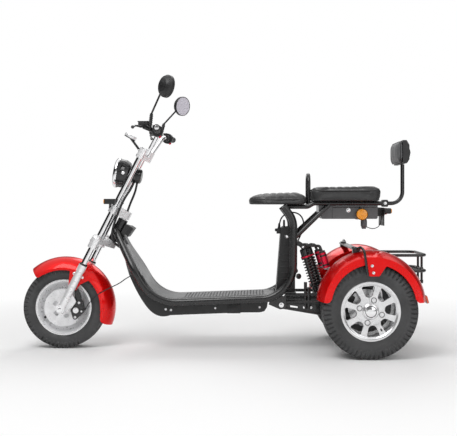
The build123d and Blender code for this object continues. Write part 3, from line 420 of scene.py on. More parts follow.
def bare_piece(work, name):
    """Turn a bmesh into an object that has no finish yet."""
    mesh = bpy.data.meshes.new(name)
    work.to_mesh(mesh)
    work.free()
    piece = bpy.data.objects.new(name, mesh)
    bpy.context.scene.collection.objects.link(piece)
    return piece


def keep_piece(work, name, body, slot, sharp=35):
    """Turn a bmesh into a piece that rides a body and wears a slot's finish."""
    bmesh.ops.remove_doubles(work, verts=work.verts, dist=WELD)
    bmesh.ops.recalc_face_normals(work, faces=work.faces)
    piece = bare_piece(work, name)
    piece.data.materials.append(finishes[slot])
    piece.data.shade_smooth()
    piece.data.set_sharp_from_angle(angle=radians(sharp))
    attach(piece, body)
    return piece


def facing(place, direction):
    """The matrix that stands a shape made along Z at a place, along a direction."""
    turn = direction.normalized().to_track_quat("Z", "Y").to_matrix().to_4x4()
    return Matrix.Translation(place) @ turn


def spin_round(work, points, centre, axis, steps):
    """Join points in a line and turn it once about an axis."""
    edges = [work.edges.new(pair) for pair in zip(points, points[1:])]
    bmesh.ops.spin(
        work, geom=points + edges, cent=centre, axis=axis, dvec=(0, 0, 0), angle=tau, steps=steps,
        use_merge=True, use_normal_flip=False, use_duplicate=False,
    )


def ring_of(work, profile, place, direction, steps=48):
    """Spin pairs of (height, radius) about a direction, closed if the first pair comes again."""
    matrix = facing(place, direction)
    points = [work.verts.new(matrix @ Vector((radius, 0, height))) for height, radius in profile]
    spin_round(work, points, place, direction.normalized(), steps)


def round_edges(work, made, edge, segments):
    """Bevel every edge of a shape that was just made."""
    edges = list({item for vert in made["verts"] for item in vert.link_edges})
    bmesh.ops.bevel(
        work, geom=edges, offset=edge, offset_type="OFFSET", affect="EDGES",
        segments=segments, profile=0.5, material=-1,
    )


# ---------------------------------------------------------------- tyres
TREAD_SHARE = 0.90
SHOULDER = 0.026
GROOVE_CORE = 0.045


def tyre_profile(half_width, radius, bead_half, bead, tread_points, crown_drop):
    """Pairs of (across, radius) over a tyre from one bead to the other."""
    wall = [
        (-bead_half, bead),
        (-bead_half - 0.004, bead + 0.014),
        (-half_width * 0.93, bead + (radius - bead) * 0.30),
        (-half_width * 0.985, bead + (radius - bead) * 0.44),
        (-half_width, bead + (radius - bead) * 0.54),
        (-half_width * 0.985, bead + (radius - bead) * 0.66),
        (-half_width * 0.955, radius - crown_drop * 2.6),
    ]
    edge = half_width * TREAD_SHARE
    tread = []
    for index in range(tread_points):
        across = -edge + 2 * edge * index / (tread_points - 1)
        tread.append((across, radius - crown_drop * abs(across / edge) ** 2.2))
    return wall + tread + [(-across, height) for across, height in reversed(wall)]


def cut_grooves(work, hub, is_groove, depth, core):
    """Sink the faces that the pattern names into the tyre, away from its skin, and give them the second
    finish, a darker rubber that paints shade on the groove floors.
    """
    chosen = [face for face in work.faces if is_groove(face)]
    made = bmesh.ops.extrude_face_region(work, geom=chosen)
    for item in made["geom"]:
        if isinstance(item, bmesh.types.BMFace):
            # The sunk floors take the second finish: darker rubber as painted shade in the grooves.
            item.material_index = 1
        if isinstance(item, bmesh.types.BMVert):
            out = Vector((item.co.x - hub.x, 0, item.co.z - hub.z)).normalized()
            inside = hub + out * core + SIDE * (item.co.y - hub.y) * 0.45
            item.co -= (item.co - inside).normalized() * depth


def make_tyre(name, node, body, half_width, bead_half, bead, pitches, depth, tread_points, crown_drop):
    """A tyre whose tread is cut by slanted shoulder grooves and two rings."""
    hub = middle(node)
    low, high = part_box(node)
    radius = (high.z - low.z) / 2
    profile = tyre_profile(half_width, radius, bead_half, bead, tread_points, crown_drop)
    work = bmesh.new()
    points = [work.verts.new((hub.x, hub.y + across, hub.z + height)) for across, height in profile]
    spin_round(work, points, hub, SIDE, pitches * 4)
    edge = half_width * TREAD_SHARE

    def is_groove(face):
        at = face.calc_center_median() - hub
        across = at.y / edge
        if (at.x**2 + at.z**2) ** 0.5 < radius - SHOULDER:
            return False
        turn = (atan2(at.z, at.x) / tau * pitches + abs(across) * 1.5) % 1
        ring = abs(abs(across) - 0.33) < 0.5 / (tread_points - 1) * 2
        slant = abs(across) > 0.42 and turn < 0.26
        middle_cut = abs(across) < 0.25 and (turn + 0.5) % 1 < 0.26 and abs(across) > 0.1
        return ring or slant or middle_cut

    cut_grooves(work, hub, is_groove, depth, radius - GROOVE_CORE)
    tyre = keep_piece(work, name, body, "tyre_rubber", sharp=40)
    # The second finish, the darker rubber of the groove floors, is painted shade.
    tyre.data.materials.append(finishes["groove_painted_shade"])
    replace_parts(tyre, node)
    return tyre


class SCOOTER_OT_tyres(bpy.types.Operator):
    """Build the three treaded tyres"""

    bl_idname = "scooter.tyres"
    bl_label = "Tyres"

    def execute(self, context):
        sizes = context.scene.scooter_sizes
        make_tyre(
            "front_tyre_rubber", "front_tyre", "front_wheel", 0.065, 0.045, 0.127,
            sizes.front_pitches, sizes.groove_depth, 17, 0.006,
        )
        for side in ("left", "right"):
            make_tyre(
                f"{side}_rear_tyre_rubber", f"{side}_rear_tyre", f"{side}_rear_wheel", 0.0975, 0.080, 0.127,
                sizes.rear_pitches, sizes.groove_depth, 21, 0.0045,
            )
        return {"FINISHED"}


# ---------------------------------------------------------------- painted frame
class SCOOTER_OT_paint(bpy.types.Operator):
    """Give every rigid node the finish of its slot"""

    bl_idname = "scooter.paint"
    bl_label = "Paint"

    def execute(self, context):
        finishes.update(make_finishes(context.scene.scooter_colours))
        for row in frame["record"]["subparts"]:
            mesh = frame["nodes"][row["node"]].data
            mesh.materials.clear()
            mesh.materials.append(finishes[row["material_slot"]])
        return {"FINISHED"}


# ---------------------------------------------------------------- cords
def as_tube(piece, diameter):
    """The cord as a mesh tube, with the points that it follows."""
    piece.data.bevel_depth = 0
    bare = bpy.data.meshes.new_from_object(piece.evaluated_get(bpy.context.evaluated_depsgraph_get()))
    path = [tuple(vert.co) for vert in bare.vertices]
    bpy.data.meshes.remove(bare)
    piece.data.bevel_depth = diameter / 2
    tube = bpy.data.meshes.new_from_object(piece.evaluated_get(bpy.context.evaluated_depsgraph_get()))
    work = bmesh.new()
    work.from_mesh(tube)
    bmesh.ops.remove_doubles(work, verts=work.verts, dist=WELD)
    bmesh.ops.recalc_face_normals(work, faces=work.faces)
    work.to_mesh(tube)
    work.free()
    tube.shade_smooth()
    name = piece.name
    line = piece.data
    bpy.data.objects.remove(piece)
    bpy.data.curves.remove(line)
    tube.name = name
    made = bpy.data.objects.new(name, tube)
    bpy.context.scene.collection.objects.link(made)
    return made, path


def cord_curve(name, node, body, points, diameter, bend=None):
    """A cord on one smooth line between the two pieces that it joins."""
    curve = bpy.data.curves.new(name, "CURVE")
    curve.dimensions = "3D"
    curve.bevel_depth = diameter / 2
    curve.bevel_resolution = 4
    curve.resolution_u = 8
    curve.use_fill_caps = True
    line = curve.splines.new("NURBS")
    line.points.add(len(points) - 1)
    for point, place in zip(line.points, points):
        point.co = (*place, 1)
    line.order_u = 3
    line.use_endpoint_u = True
    curve.materials.append(finishes["cord_rubber"])
    piece = bpy.data.objects.new(name, curve)
    bpy.context.scene.collection.objects.link(piece)
    path = None
    if bend:
        piece, path = as_tube(piece, diameter)
        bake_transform(piece)
    else:
        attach(piece, body)
    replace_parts(piece, node)
    return piece


class SCOOTER_OT_cords(bpy.types.Operator):
    """Lay the brake hose, the looms, the battery cable and the tail wire"""

    bl_idname = "scooter.cords"
    bl_label = "Cords"

    def execute(self, context):
        cord_curve(
            "front_brake_hose_line", "front_brake_hose", "steering",
            [
                (-0.6845, -0.088, 0.202),
                (-0.664, -0.089, 0.237),
                (-0.619, -0.090, 0.277),
                (-0.571, -0.091, 0.303),
                (-0.511, -0.093, 0.331),
                (-0.484, -0.094, 0.353),
                (-0.456, -0.095, 0.368),
            ],
            0.005,
            bend=((-0.619, -0.090, 0.277), (-0.456, -0.095, 0.368)),
        )
        cord_curve(
            "wiring_loom_line", "wiring_loom", "steering",
            [
                (-0.452, -0.024, 0.836),
                (-0.462, -0.044, 0.803),
                (-0.487, -0.066, 0.763),
                (-0.509, -0.073, 0.718),
                (-0.527, -0.075, 0.671),
                (-0.544, -0.074, 0.624),
                (-0.555, -0.069, 0.584),
                (-0.556, -0.059, 0.549),
                (-0.540, -0.047, 0.519),
                (-0.505, -0.036, 0.498),
            ],
            0.012,
            bend=((-0.527, -0.075, 0.671), (-0.505, -0.036, 0.498)),
        )
        foot = on_fork(0.060, 0, 0.570)
        cord_curve(
            "stem_loom_line", "stem_loom", "steering",
            [(-0.440, 0, 0.832), (-0.446, 0, 0.797), (-0.459, 0, 0.762), (-0.474, 0, 0.728), tuple(foot)],
            0.011,
        )
        cord_curve(
            "battery_cable_line", "battery_cable", "frame",
            [
                (0.282, -0.045, 0.600),
                (0.283, -0.045, 0.638),
                (0.306, -0.045, 0.672),
                (0.350, -0.045, 0.686),
                (0.392, -0.045, 0.670),
                (0.408, -0.045, 0.628),
                (0.399, -0.045, 0.586),
                (0.377, -0.045, 0.540),
            ],
            0.007,
        )
        cord_curve(
            "tail_wire_line", "tail_wire", "frame",
            [
                (0.716, -0.060, 0.612),
                (0.734, -0.059, 0.603),
                (0.758, -0.057, 0.600),
                (0.783, -0.053, 0.611),
                (0.795, -0.048, 0.636),
                (0.797, -0.044, 0.668),
            ],
            0.004,
        )
        return {"FINISHED"}


# ---------------------------------------------------------------- cushions
CLOTH_FINENESS = 0.005
SWELL_STEPS = 20
SEAM_WIDTH = 0.005
CORNER_STEPS = 8
NOSE_STEPS = 30


def pad_blank(outline, low, wall, steps):
    """The cut shape of a cushion: a plan, a wall and a crown that steps in and up."""
    work = bmesh.new()
    base = work.faces.new([work.verts.new((x, y, low)) for x, y in outline])
    made = bmesh.ops.extrude_face_region(work, geom=[base])["geom"]
    top = [item for item in made if isinstance(item, bmesh.types.BMFace)]
    raised = [item for item in made if isinstance(item, bmesh.types.BMVert)]
    bmesh.ops.translate(work, verts=raised, vec=(0, 0, wall))
    for inset, rise in steps:
        bmesh.ops.inset_region(
            work, faces=top, thickness=inset, depth=0, use_even_offset=True, use_boundary=True
        )
        bmesh.ops.translate(work, verts=list({vert for face in top for vert in face.verts}), vec=(0, 0, rise))
    bmesh.ops.recalc_face_normals(work, faces=work.faces)
    return work


def baked(piece):
    """Make the piece's modifiers part of its mesh."""
    solid = bpy.data.meshes.new_from_object(piece.evaluated_get(bpy.context.evaluated_depsgraph_get()))
    piece.modifiers.clear()
    old = piece.data
    piece.data = solid
    bpy.data.meshes.remove(old)


def swell(piece, is_held, cap):
    """Fill the cover until it is tight, and keep each point within the cap of where it was."""
    remesh = piece.modifiers.new("even", "REMESH")
    remesh.mode = "VOXEL"
    remesh.voxel_size = CLOTH_FINENESS
    baked(piece)
    start = [vert.co.copy() for vert in piece.data.vertices]
    held = piece.vertex_groups.new(name="held")
    held.add([index for index, place in enumerate(start) if is_held(place)], 1.0, "REPLACE")
    cloth = piece.modifiers.new("swell", "CLOTH")
    cloth.settings.quality = 5
    cloth.settings.use_pressure = True
    cloth.settings.uniform_pressure_force = 4
    cloth.settings.effector_weights.gravity = 0
    cloth.settings.vertex_group_mass = "held"
    cloth.settings.tension_stiffness = 12
    cloth.settings.bending_stiffness = 0.5
    scene = bpy.context.scene
    for step in range(1, SWELL_STEPS + 1):
        scene.frame_set(step)
    baked(piece)
    scene.frame_set(1)
    for vert, place in zip(piece.data.vertices, start):
        moved = vert.co - place
        if moved.length > cap:
            vert.co = place + moved.normalized() * cap
    piece.vertex_groups.clear()


def soften(piece, rounds):
    """Even out the small steps that the remesh leaves."""
    work = bmesh.new()
    work.from_mesh(piece.data)
    for _ in range(rounds):
        bmesh.ops.smooth_vert(
            work, verts=work.verts, factor=0.5, use_axis_x=True, use_axis_y=True, use_axis_z=True
        )
    work.to_mesh(piece.data)
    work.free()


def sew(piece, seams):
    """Pull the cover in along seams, each a rule of how far a place lies from it and its depth."""
    normals = [vert.normal.copy() for vert in piece.data.vertices]
    for vert, normal in zip(piece.data.vertices, normals):
        pull = 0.0
        for distance, depth in seams:
            pull = max(pull, depth * exp(-((distance(vert.co) / SEAM_WIDTH) ** 2)))
        vert.co -= normal * pull


def piping(name, cushion, loop, body, slot, radius):
    """A round welt sewn along a closed line that is laid on the cushion."""
    tree = BVHTree.FromPolygons(
        [vert.co for vert in cushion.data.vertices], [face.vertices for face in cushion.data.polygons]
    )
    curve = bpy.data.curves.new(name, "CURVE")
    curve.dimensions = "3D"
    curve.bevel_depth = radius
    curve.bevel_resolution = 3
    curve.resolution_u = 2
    line = curve.splines.new("NURBS")
    line.points.add(len(loop) - 1)
    for point, place in zip(line.points, loop):
        near, normal = tree.find_nearest(place)[:2]
        point.co = (*(near + normal * radius * 0.35), 1)
    line.order_u = 3
    line.use_cyclic_u = True
    curve.materials.append(finishes[slot])
    welt = bpy.data.objects.new(name, curve)
    bpy.context.scene.collection.objects.link(welt)
    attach(welt, body)
    return welt


def round_plan(low_x, high_x, half, corner):
    """A rectangle's plan with round corners, as pairs."""
    plan = []
    for turn, (x, y) in enumerate(
        ((high_x - corner, half - corner), (low_x + corner, half - corner),
         (low_x + corner, corner - half), (high_x - corner, corner - half))
    ):
        for step in range(CORNER_STEPS + 1):
            angle = (turn + step / CORNER_STEPS) * pi / 2
            plan.append((x + corner * cos(angle), y + corner * sin(angle)))
    return plan


def nose_plan(low_x, high_x, half, corner):
    """The plan of a saddle: a broad round nose and a straight back with round corners."""
    plan = [(high_x, corner - half), (high_x, half - corner), (high_x - corner * 0.3, half - corner * 0.3),
            (high_x - corner, half)]
    start = low_x + (high_x - low_x) * 0.42
    for step in range(NOSE_STEPS + 1):
        angle = pi / 2 + pi * step / NOSE_STEPS
        plan.append((start + (start - low_x) * cos(angle), half * sin(angle)))
    plan += [(high_x - corner, -half), (high_x - corner * 0.3, corner * 0.3 - half)]
    return plan


def cover_cushion(piece, node, slot):
    """Smooth a sewn cover and give it its finish, its body and the node that it stands for."""
    smooth = piece.modifiers.new("smooth", "SUBSURF")
    smooth.levels = 1
    smooth.render_levels = 1
    baked(piece)
    piece.data.materials.clear()
    piece.data.materials.append(finishes[slot])
    piece.data.shade_smooth()
    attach(piece, "frame")
    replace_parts(piece, node)


def make_cushion(name, node, plan, wall, steps, slot, cap, channels, welt_heights, lean):
    """One seat cushion, swelled, sewn and piped, after a lean of front, back and top."""
    low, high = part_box(node)
    work = pad_blank(plan, low.z, wall, steps)
    tall = wall + sum(rise for _, rise in steps)
    front_push, back_push, front_tall, back_tall = lean
    for vert in work.verts:
        along = (vert.co.x - low.x) / (high.x - low.x)
        up = (vert.co.z - low.z) / tall
        vert.co.x += up * (back_push * max(0, 2 * along - 1) - front_push * max(0, 1 - 2 * along))
        vert.co.z = low.z + (vert.co.z - low.z) * (front_tall + (back_tall - front_tall) * along)
    piece = bare_piece(work, name)
    swell(piece, lambda place: place.z < low.z + 0.004, cap)
    soften(piece, 3)

    def on_top(place):
        return place.z > high.z - 0.035 and abs(place.y) < 0.105

    def channel(at):
        return lambda place: place.x - at if on_top(place) else 1.0

    seams = [(channel(x), 0.0035) for x in channels]
    side_seam = high.z - welt_heights[0]
    seams.append((lambda place: place.z - side_seam if place.z < high.z - 0.006 else 1.0, 0.0015))
    sew(piece, seams)
    for vert in piece.data.vertices:
        vert.co.z = max(vert.co.z, low.z)
    cover_cushion(piece, node, slot)
    for index, depth in enumerate(welt_heights):
        loop = [Vector((x, y, high.z - depth)) for x, y in plan]
        piping(f"{name}_welt_{index + 1}", piece, loop, "frame", slot, 0.0022)
    return piece


class SCOOTER_OT_cushions(bpy.types.Operator):
    """Fill, sew and pipe both seats and the backrest pad"""

    bl_idname = "scooter.cushions"
    bl_label = "Cushions"

    def execute(self, context):
        sizes = context.scene.scooter_sizes
        low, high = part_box("front_seat")
        half = high.y - 0.006
        make_cushion(
            "front_cushion", "front_seat", nose_plan(low.x + 0.006, high.x - 0.004, half, 0.03), 0.012,
            [(0.004, 0.012), (0.007, 0.012), (0.010, 0.009), (0.014, 0.006), (0.020, 0.003)],
            "black_leather", sizes.seat_swell, [0.20, 0.235, 0.27, 0.305, 0.34], [0.030, 0.056],
            (0.030, 0.034, 0.80, 1.00),
        )
        low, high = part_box("rear_seat")
        half = high.y - 0.007
        make_cushion(
            "rear_cushion", "rear_seat", round_plan(low.x + 0.007, high.x - 0.007, half, 0.042), 0.044,
            [(0.003, 0.009), (0.006, 0.006), (0.009, 0.0035), (0.014, 0.001)],
            "black_leather", sizes.seat_swell, [0.53, 0.565, 0.60, 0.635, 0.67], [0.012, 0.064],
            (0.022, 0.022, 0.94, 1.03),
        )
        make_backrest(sizes.seat_swell)
        return {"FINISHED"}


def make_backrest(cap):
    """The padded face of the backrest, with one welt round its edge."""
    low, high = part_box("backrest_pad")
    plan = round_plan(low.z + 0.004, high.z - 0.004, high.y - 0.004, 0.032)
    work = pad_blank(plan, 0.0, 0.008, [(0.003, 0.006), (0.006, 0.005), (0.012, 0.003), (0.018, 0.001)])
    for vert in work.verts:
        height, across, out = vert.co
        vert.co = (high.x - out, across, height)
    bmesh.ops.recalc_face_normals(work, faces=work.faces)
    piece = bare_piece(work, "backrest_cushion")
    swell(piece, lambda place: place.x > high.x - 0.003, cap * 0.6)
    soften(piece, 3)

    def on_face(place):
        return place.x < high.x - 0.012 and abs(place.z - 0.983) < 0.035

    def tuft(at):
        return lambda place: place.y - at if on_face(place) else 1.0

    sew(piece, [(tuft(y), 0.0025) for y in (-0.07, 0.0, 0.07)])
    for vert in piece.data.vertices:
        vert.co.x = min(vert.co.x, high.x)
    cover_cushion(piece, "backrest_pad", "grey_leather")
    loop = [Vector((high.x - 0.012, across, height)) for height, across in plan]
    piping("backrest_welt", piece, loop, "frame", "black_leather", 0.0024)
    return piece


# ---------------------------------------------------------------- small hardware
def hex_bolt(work, place, direction, size, washer=True):
    """A hexagon head with broken edges, on its washer."""
    stand = facing(place, direction)
    rise = 0.0
    if washer:
        bmesh.ops.create_cone(
            work, cap_ends=True, cap_tris=False, segments=24, radius1=size * 0.98, radius2=size * 0.94,
            depth=size * 0.16, matrix=stand @ Matrix.Translation((0, 0, size * 0.08)),
        )
        rise = size * 0.16
    head = bmesh.ops.create_cone(
        work, cap_ends=True, cap_tris=False, segments=6, radius1=size * 0.66, radius2=size * 0.66,
        depth=size * 0.46, matrix=stand @ Matrix.Translation((0, 0, rise + size * 0.23)),
    )
    round_edges(work, head, size * 0.06, 2)


def socket_bolt(work, place, direction, size):
    """A domed head with a round socket."""
    ring_of(
        work,
        [
            (0, size), (size * 0.12, size), (size * 0.12, size * 0.82), (size * 0.40, size * 0.74),
            (size * 0.56, size * 0.52), (size * 0.58, size * 0.34), (size * 0.22, size * 0.30),
            (size * 0.22, 0),
        ],
        place, direction, steps=20,
    )


def fittings(name, body, slot, rows, make=hex_bolt):
    """One piece of many bolts, from rows of place, direction and size."""
    work = bmesh.new()
    for place, direction, size in rows:
        make(work, Vector(place), Vector(direction), size)
    return keep_piece(work, name, body, slot, sharp=30)


def both_sides(rows):
    """The rows again on the rider's right."""
    return rows + [((x, -y, z), (a, -b, c), size) for (x, y, z), (a, b, c), size in rows]


def lathe_piece(name, body, slot, place, direction, profile, steps=64, sharp=35):
    """A turned piece that stands at a place."""
    work = bmesh.new()
    ring_of(work, profile, Vector(place), Vector(direction), steps)
    return keep_piece(work, name, body, slot, sharp)


def soft_box(work, place, size, edge, turn=None, segments=3):
    """A block with rounded edges."""
    stand = Matrix.Translation(place) @ (turn or Matrix.Identity(4))
    made = bmesh.ops.create_cube(work, size=1.0, matrix=stand @ Matrix.Diagonal((*size, 1)))
    round_edges(work, made, edge, segments)


def box_piece(name, body, slot, place, size, edge, turn=None):
    """One block with rounded edges."""
    work = bmesh.new()
    soft_box(work, Vector(place), size, edge, turn)
    return keep_piece(work, name, body, slot, 40)


# ---------------------------------------------------------------- wheels
WINDOWS = 8
FIRST_WINDOW = 6
WINDOW_FLOOR = 0.050
WINDOW_REACH = 0.042

# height outward from the middle of the wheel, and radius
REAR_RIM_PROFILE = [
    (0.0800, 0.1400), (0.0850, 0.1400), (0.0864, 0.1388), (0.0868, 0.1350), (0.0864, 0.1290),
    (0.0852, 0.1268), (0.0815, 0.1232), (0.0796, 0.1205), (0.0792, 0.1185), (0.0800, 0.0980),
    (0.0800, 0.0680), (0.0792, 0.0655), (0.0792, 0.0390), (0.0830, 0.0362), (0.0840, 0.0340),
    (0.0840, 0.01255), (-0.0570, 0.01255), (-0.0570, 0.0900), (-0.0530, 0.0900), (-0.0530, 0.0400),
    (0.0400, 0.0400), (0.0560, 0.0600), (0.0620, 0.1203), (0.0600, 0.1200), (-0.0740, 0.1200),
    (-0.0860, 0.1250), (-0.0860, 0.1400), (-0.0800, 0.1400), (-0.0800, 0.1270), (0.0800, 0.1270),
    (0.0800, 0.1400),
]


def window_plan(angle):
    """The outline of one rim window, wide by the lip and round by the hub, turned to its place."""
    spots = []
    for reach, aside, radius in ((0.1105, -0.0215, 0.008), (0.1105, 0.0215, 0.008), (0.086, 0.0, 0.021)):
        for step in range(32):
            way = tau * step / 32
            spots.append(Vector((reach + radius * cos(way), aside + radius * sin(way))))
    outline = [spots[index] for index in convex_hull_2d(spots)]
    return [
        (spot.x * cos(angle) - spot.y * sin(angle), spot.x * sin(angle) + spot.y * cos(angle))
        for spot in outline
    ]


def make_rim(side):
    """A rear rim turned in one piece with its hub and disc, with eight windows cut through."""
    hub = REAR_HUBS[side]
    out = OUTWARDS[side]
    work = bmesh.new()
    ring_of(work, REAR_RIM_PROFILE, hub, SIDE * out, 160)
    rim = keep_piece(work, f"{side}_cast_rim", f"{side}_rear_wheel", "machined_alloy", 30)
    cutters = bmesh.new()
    floor = hub.y + out * WINDOW_FLOOR
    for count in range(WINDOWS):
        plan = window_plan(radians(FIRST_WINDOW + 360 / WINDOWS * count))
        base = cutters.faces.new([cutters.verts.new((hub.x + x, floor, hub.z + z)) for x, z in plan])
        made = bmesh.ops.extrude_face_region(cutters, geom=[base])["geom"]
        raised = [item for item in made if isinstance(item, bmesh.types.BMVert)]
        bmesh.ops.translate(cutters, verts=raised, vec=(0, out * WINDOW_REACH, 0))
    bmesh.ops.recalc_face_normals(cutters, faces=cutters.faces)
    cutter = bare_piece(cutters, "window_cutters")
    windows = rim.modifiers.new("windows", "BOOLEAN")
    windows.operation = "DIFFERENCE"
    windows.solver = "EXACT"
    windows.object = cutter
    edges = rim.modifiers.new("edges", "BEVEL")
    edges.width = 0.0016
    edges.segments = 3
    edges.limit_method = "ANGLE"
    edges.angle_limit = radians(38)
    edges.use_clamp_overlap = True
    baked(rim)
    mesh = cutter.data
    bpy.data.objects.remove(cutter)
    bpy.data.meshes.remove(mesh)
    rim.data.shade_smooth()
    rim.data.set_sharp_from_angle(angle=radians(30))
    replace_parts(rim, f"{side}_rear_rim")
    return rim


class SCOOTER_OT_wheel_fittings(bpy.types.Operator):
    """Build the rear rims and add the caps, wheel bolts, valves and disc bolts"""

    bl_idname = "scooter.wheel_fittings"
    bl_label = "Wheel fittings"

    def execute(self, context):
        for side, out in OUTWARDS.items():
            hub = REAR_HUBS[side]
            body = f"{side}_rear_wheel"
            make_rim(side)
            face = Vector((hub.x, hub.y + out * 0.084, hub.z))
            direction = SIDE * out
            lathe_piece(
                f"{side}_wheel_cap", body, "chrome", face, direction,
                [
                    (-0.006, 0.034), (0.004, 0.034), (0.007, 0.0325), (0.0085, 0.030), (0.0085, 0.0275),
                    (0.0065, 0.0265), (0.0065, 0.024), (0.0085, 0.020), (0.0105, 0.012), (0.011, 0.0),
                ],
            )
            lathe_piece(
                f"{side}_cap_ring", body, "black_metal", face, direction,
                [(0.0062, 0.0272), (0.0078, 0.0270), (0.0078, 0.0245), (0.0062, 0.0242), (0.0062, 0.0272)],
            )
            rows = []
            for count in range(4):
                angle = radians(74 + 90 * count)
                spot = hub + Vector((0.054 * cos(angle), out * 0.0795, 0.054 * sin(angle)))
                rows.append((spot, direction, 0.0085))
            fittings(f"{side}_wheel_bolts", body, "brake_steel", rows)
            seats = bmesh.new()
            for row in rows:
                ring_of(
                    seats,
                    [(0.0004, 0.0135), (0.0014, 0.0130), (0.0014, 0.0112), (0.0002, 0.0106),
                     (0.0004, 0.0135)],
                    row[0], direction, 32,
                )
            keep_piece(seats, f"{side}_bolt_seats", body, "black_metal")
            angle = radians(-60)
            valve = Vector((hub.x + 0.112 * cos(angle), hub.y + out * 0.066, hub.z + 0.112 * sin(angle)))
            inwards = -Vector((cos(angle), 0, sin(angle)))
            lathe_piece(
                f"{side}_valve", body, "black_plastic", valve, direction * 0.75 + inwards * 0.6,
                [(-0.004, 0.0062), (0.006, 0.0058), (0.010, 0.004), (0.026, 0.004), (0.028, 0.0035),
                 (0.028, 0.0)], 24,
            )
        hub = FRONT_HUB
        rows = []
        for count in range(5):
            angle = radians(41 + 72 * count)
            spot = (hub.x + 0.028 * cos(angle), -0.064, hub.z + 0.028 * sin(angle))
            rows.append((spot, (0, -1, 0), 0.0062))
        fittings("disc_bolts", "front_wheel", "chrome", rows, socket_bolt)
        lathe_piece(
            "front_hub_cap", "front_wheel", "cast_silver", (hub.x, 0.060, hub.z), (0, 1, 0),
            [(0, 0.034), (0.003, 0.0335), (0.004, 0.030), (0.004, 0.013), (0, 0.0125)],
        )
        lathe_piece(
            "front_rim_lip", "front_wheel", "machined_alloy", (hub.x, 0, hub.z), (0, -1, 0),
            [(0.0485, 0.1395), (0.0512, 0.1384), (0.0518, 0.1350), (0.0512, 0.1322), (0.0485, 0.1318),
             (0.0485, 0.1395)],
            128,
        )
        lathe_piece(
            "front_valve", "front_wheel", "black_plastic",
            (hub.x - 0.098, -0.028, hub.z - 0.052), (0.5, -0.75, 0.27),
            [(-0.006, 0.0062), (0.006, 0.0058), (0.010, 0.004), (0.024, 0.004), (0.026, 0.0035),
             (0.026, 0.0)], 24,
        )
        return {"FINISHED"}


# ---------------------------------------------------------------- lights
HEADLIGHT = Vector((-0.541, 0, 0.884))
HEADLIGHT_AIM = Vector((-cos(radians(10)), 0, sin(radians(10))))


class SCOOTER_OT_lights(bpy.types.Operator):
    """Detail the headlight, the turn signals, the tail light and the reflectors"""

    bl_idname = "scooter.lights"
    bl_label = "Lights"

    def execute(self, context):
        lens_glass = lathe_piece(
            "headlight_glass", "steering", "clear_lens", HEADLIGHT, HEADLIGHT_AIM,
            [(-0.006, 0.0), (-0.006, 0.0655), (0.002, 0.0665), (0.006, 0.063), (0.011, 0.050),
             (0.0145, 0.032), (0.016, 0.014), (0.0162, 0.0)], 96, 60,
        )
        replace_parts(lens_glass, "headlight_lens")
        lathe_piece(
            "headlight_bezel", "steering", "chrome", HEADLIGHT, HEADLIGHT_AIM,
            [(-0.010, 0.0752), (-0.004, 0.0762), (0.002, 0.0750), (0.007, 0.0712), (0.009, 0.0680),
             (0.007, 0.0655), (0.002, 0.0662), (-0.004, 0.0672), (-0.010, 0.0752)], 96, 60,
        )
        side_bolt = HEADLIGHT - HEADLIGHT_AIM * 0.042 + UP * 0.004
        fittings(
            "headlight_bolts", "steering", "chrome",
            both_sides([((side_bolt.x, -0.0712, side_bolt.z), (0, -1, 0), 0.0085)]), socket_bolt,
        )
        arm = bmesh.new()
        lean = Matrix.Rotation(radians(22), 4, "Y")
        for out in (-1, 1):
            soft_box(arm, Vector((-0.520, out * 0.0715, 0.913)), (0.020, 0.005, 0.046), 0.0018, lean)
            soft_box(arm, Vector((-0.500, out * 0.0655, 0.925)), (0.030, 0.005, 0.016), 0.0018, lean)
        keep_piece(arm, "headlight_arms", "steering", "black_metal", 40)
        for name, out in OUTWARDS.items():
            signal = Vector((-0.558, out * 0.112, 0.737))
            box_piece(
                f"{name}_signal_lens", "steering", "amber_lens", signal + Vector((-0.0245, 0, 0)),
                (0.010, 0.034, 0.021), 0.004,
            )
            lathe_piece(
                f"{name}_reflector", "frame", "amber_lens", (0.692, out * 0.098, 0.673), (0, out, 0),
                [(0, 0.0), (0, 0.0275), (0.002, 0.0272), (0.0042, 0.0245), (0.0050, 0.018), (0.0052, 0.0)],
                64, 60,
            )
            lathe_piece(
                f"{name}_reflector_cup", "frame", "black_plastic", (0.692, out * 0.078, 0.673), (0, out, 0),
                [(0, 0.0265), (0.012, 0.0292), (0.0208, 0.0294), (0.0216, 0.0284), (0.0206, 0.0276),
                 (0.012, 0.0276), (0, 0.0265)], 64,
            )
            rear = Vector((0.818, out * 0.098, 0.690))
            box_piece(
                f"{name}_rear_signal_lens", "frame", "amber_lens", rear + Vector((0.0155, 0, 0)),
                (0.011, 0.028, 0.022), 0.004,
            )
        box_piece("tail_light_lens", "frame", "red_lens", (0.8225, 0, 0.688), (0.012, 0.088, 0.028), 0.005)
        low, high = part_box("rear_reflectors")
        lean = Matrix.Rotation(radians(-15), 4, "Y")
        for name, out in OUTWARDS.items():
            box_piece(
                f"{name}_guard_reflector", "frame", "orange_lens",
                (high.x - 0.0068, out * 0.270, (low.z + high.z) / 2 + 0.0005),
                (0.006, 0.050, 0.030), 0.0025, lean,
            )
        return {"FINISHED"}


# ---------------------------------------------------------------- handlebar
BAR_RISE = Vector((-0.320, -0.100, 1.071))
BAR_END = Vector((-0.295, -0.361, 1.079))


def on_bar(distance, out):
    """The place and direction at a distance from one end of the handlebar."""
    along = (BAR_END - BAR_RISE).normalized()
    place = BAR_END - along * distance
    if out > 0:
        return Vector((place.x, -place.y, place.z)), Vector((along.x, -along.y, along.z))
    return place, along


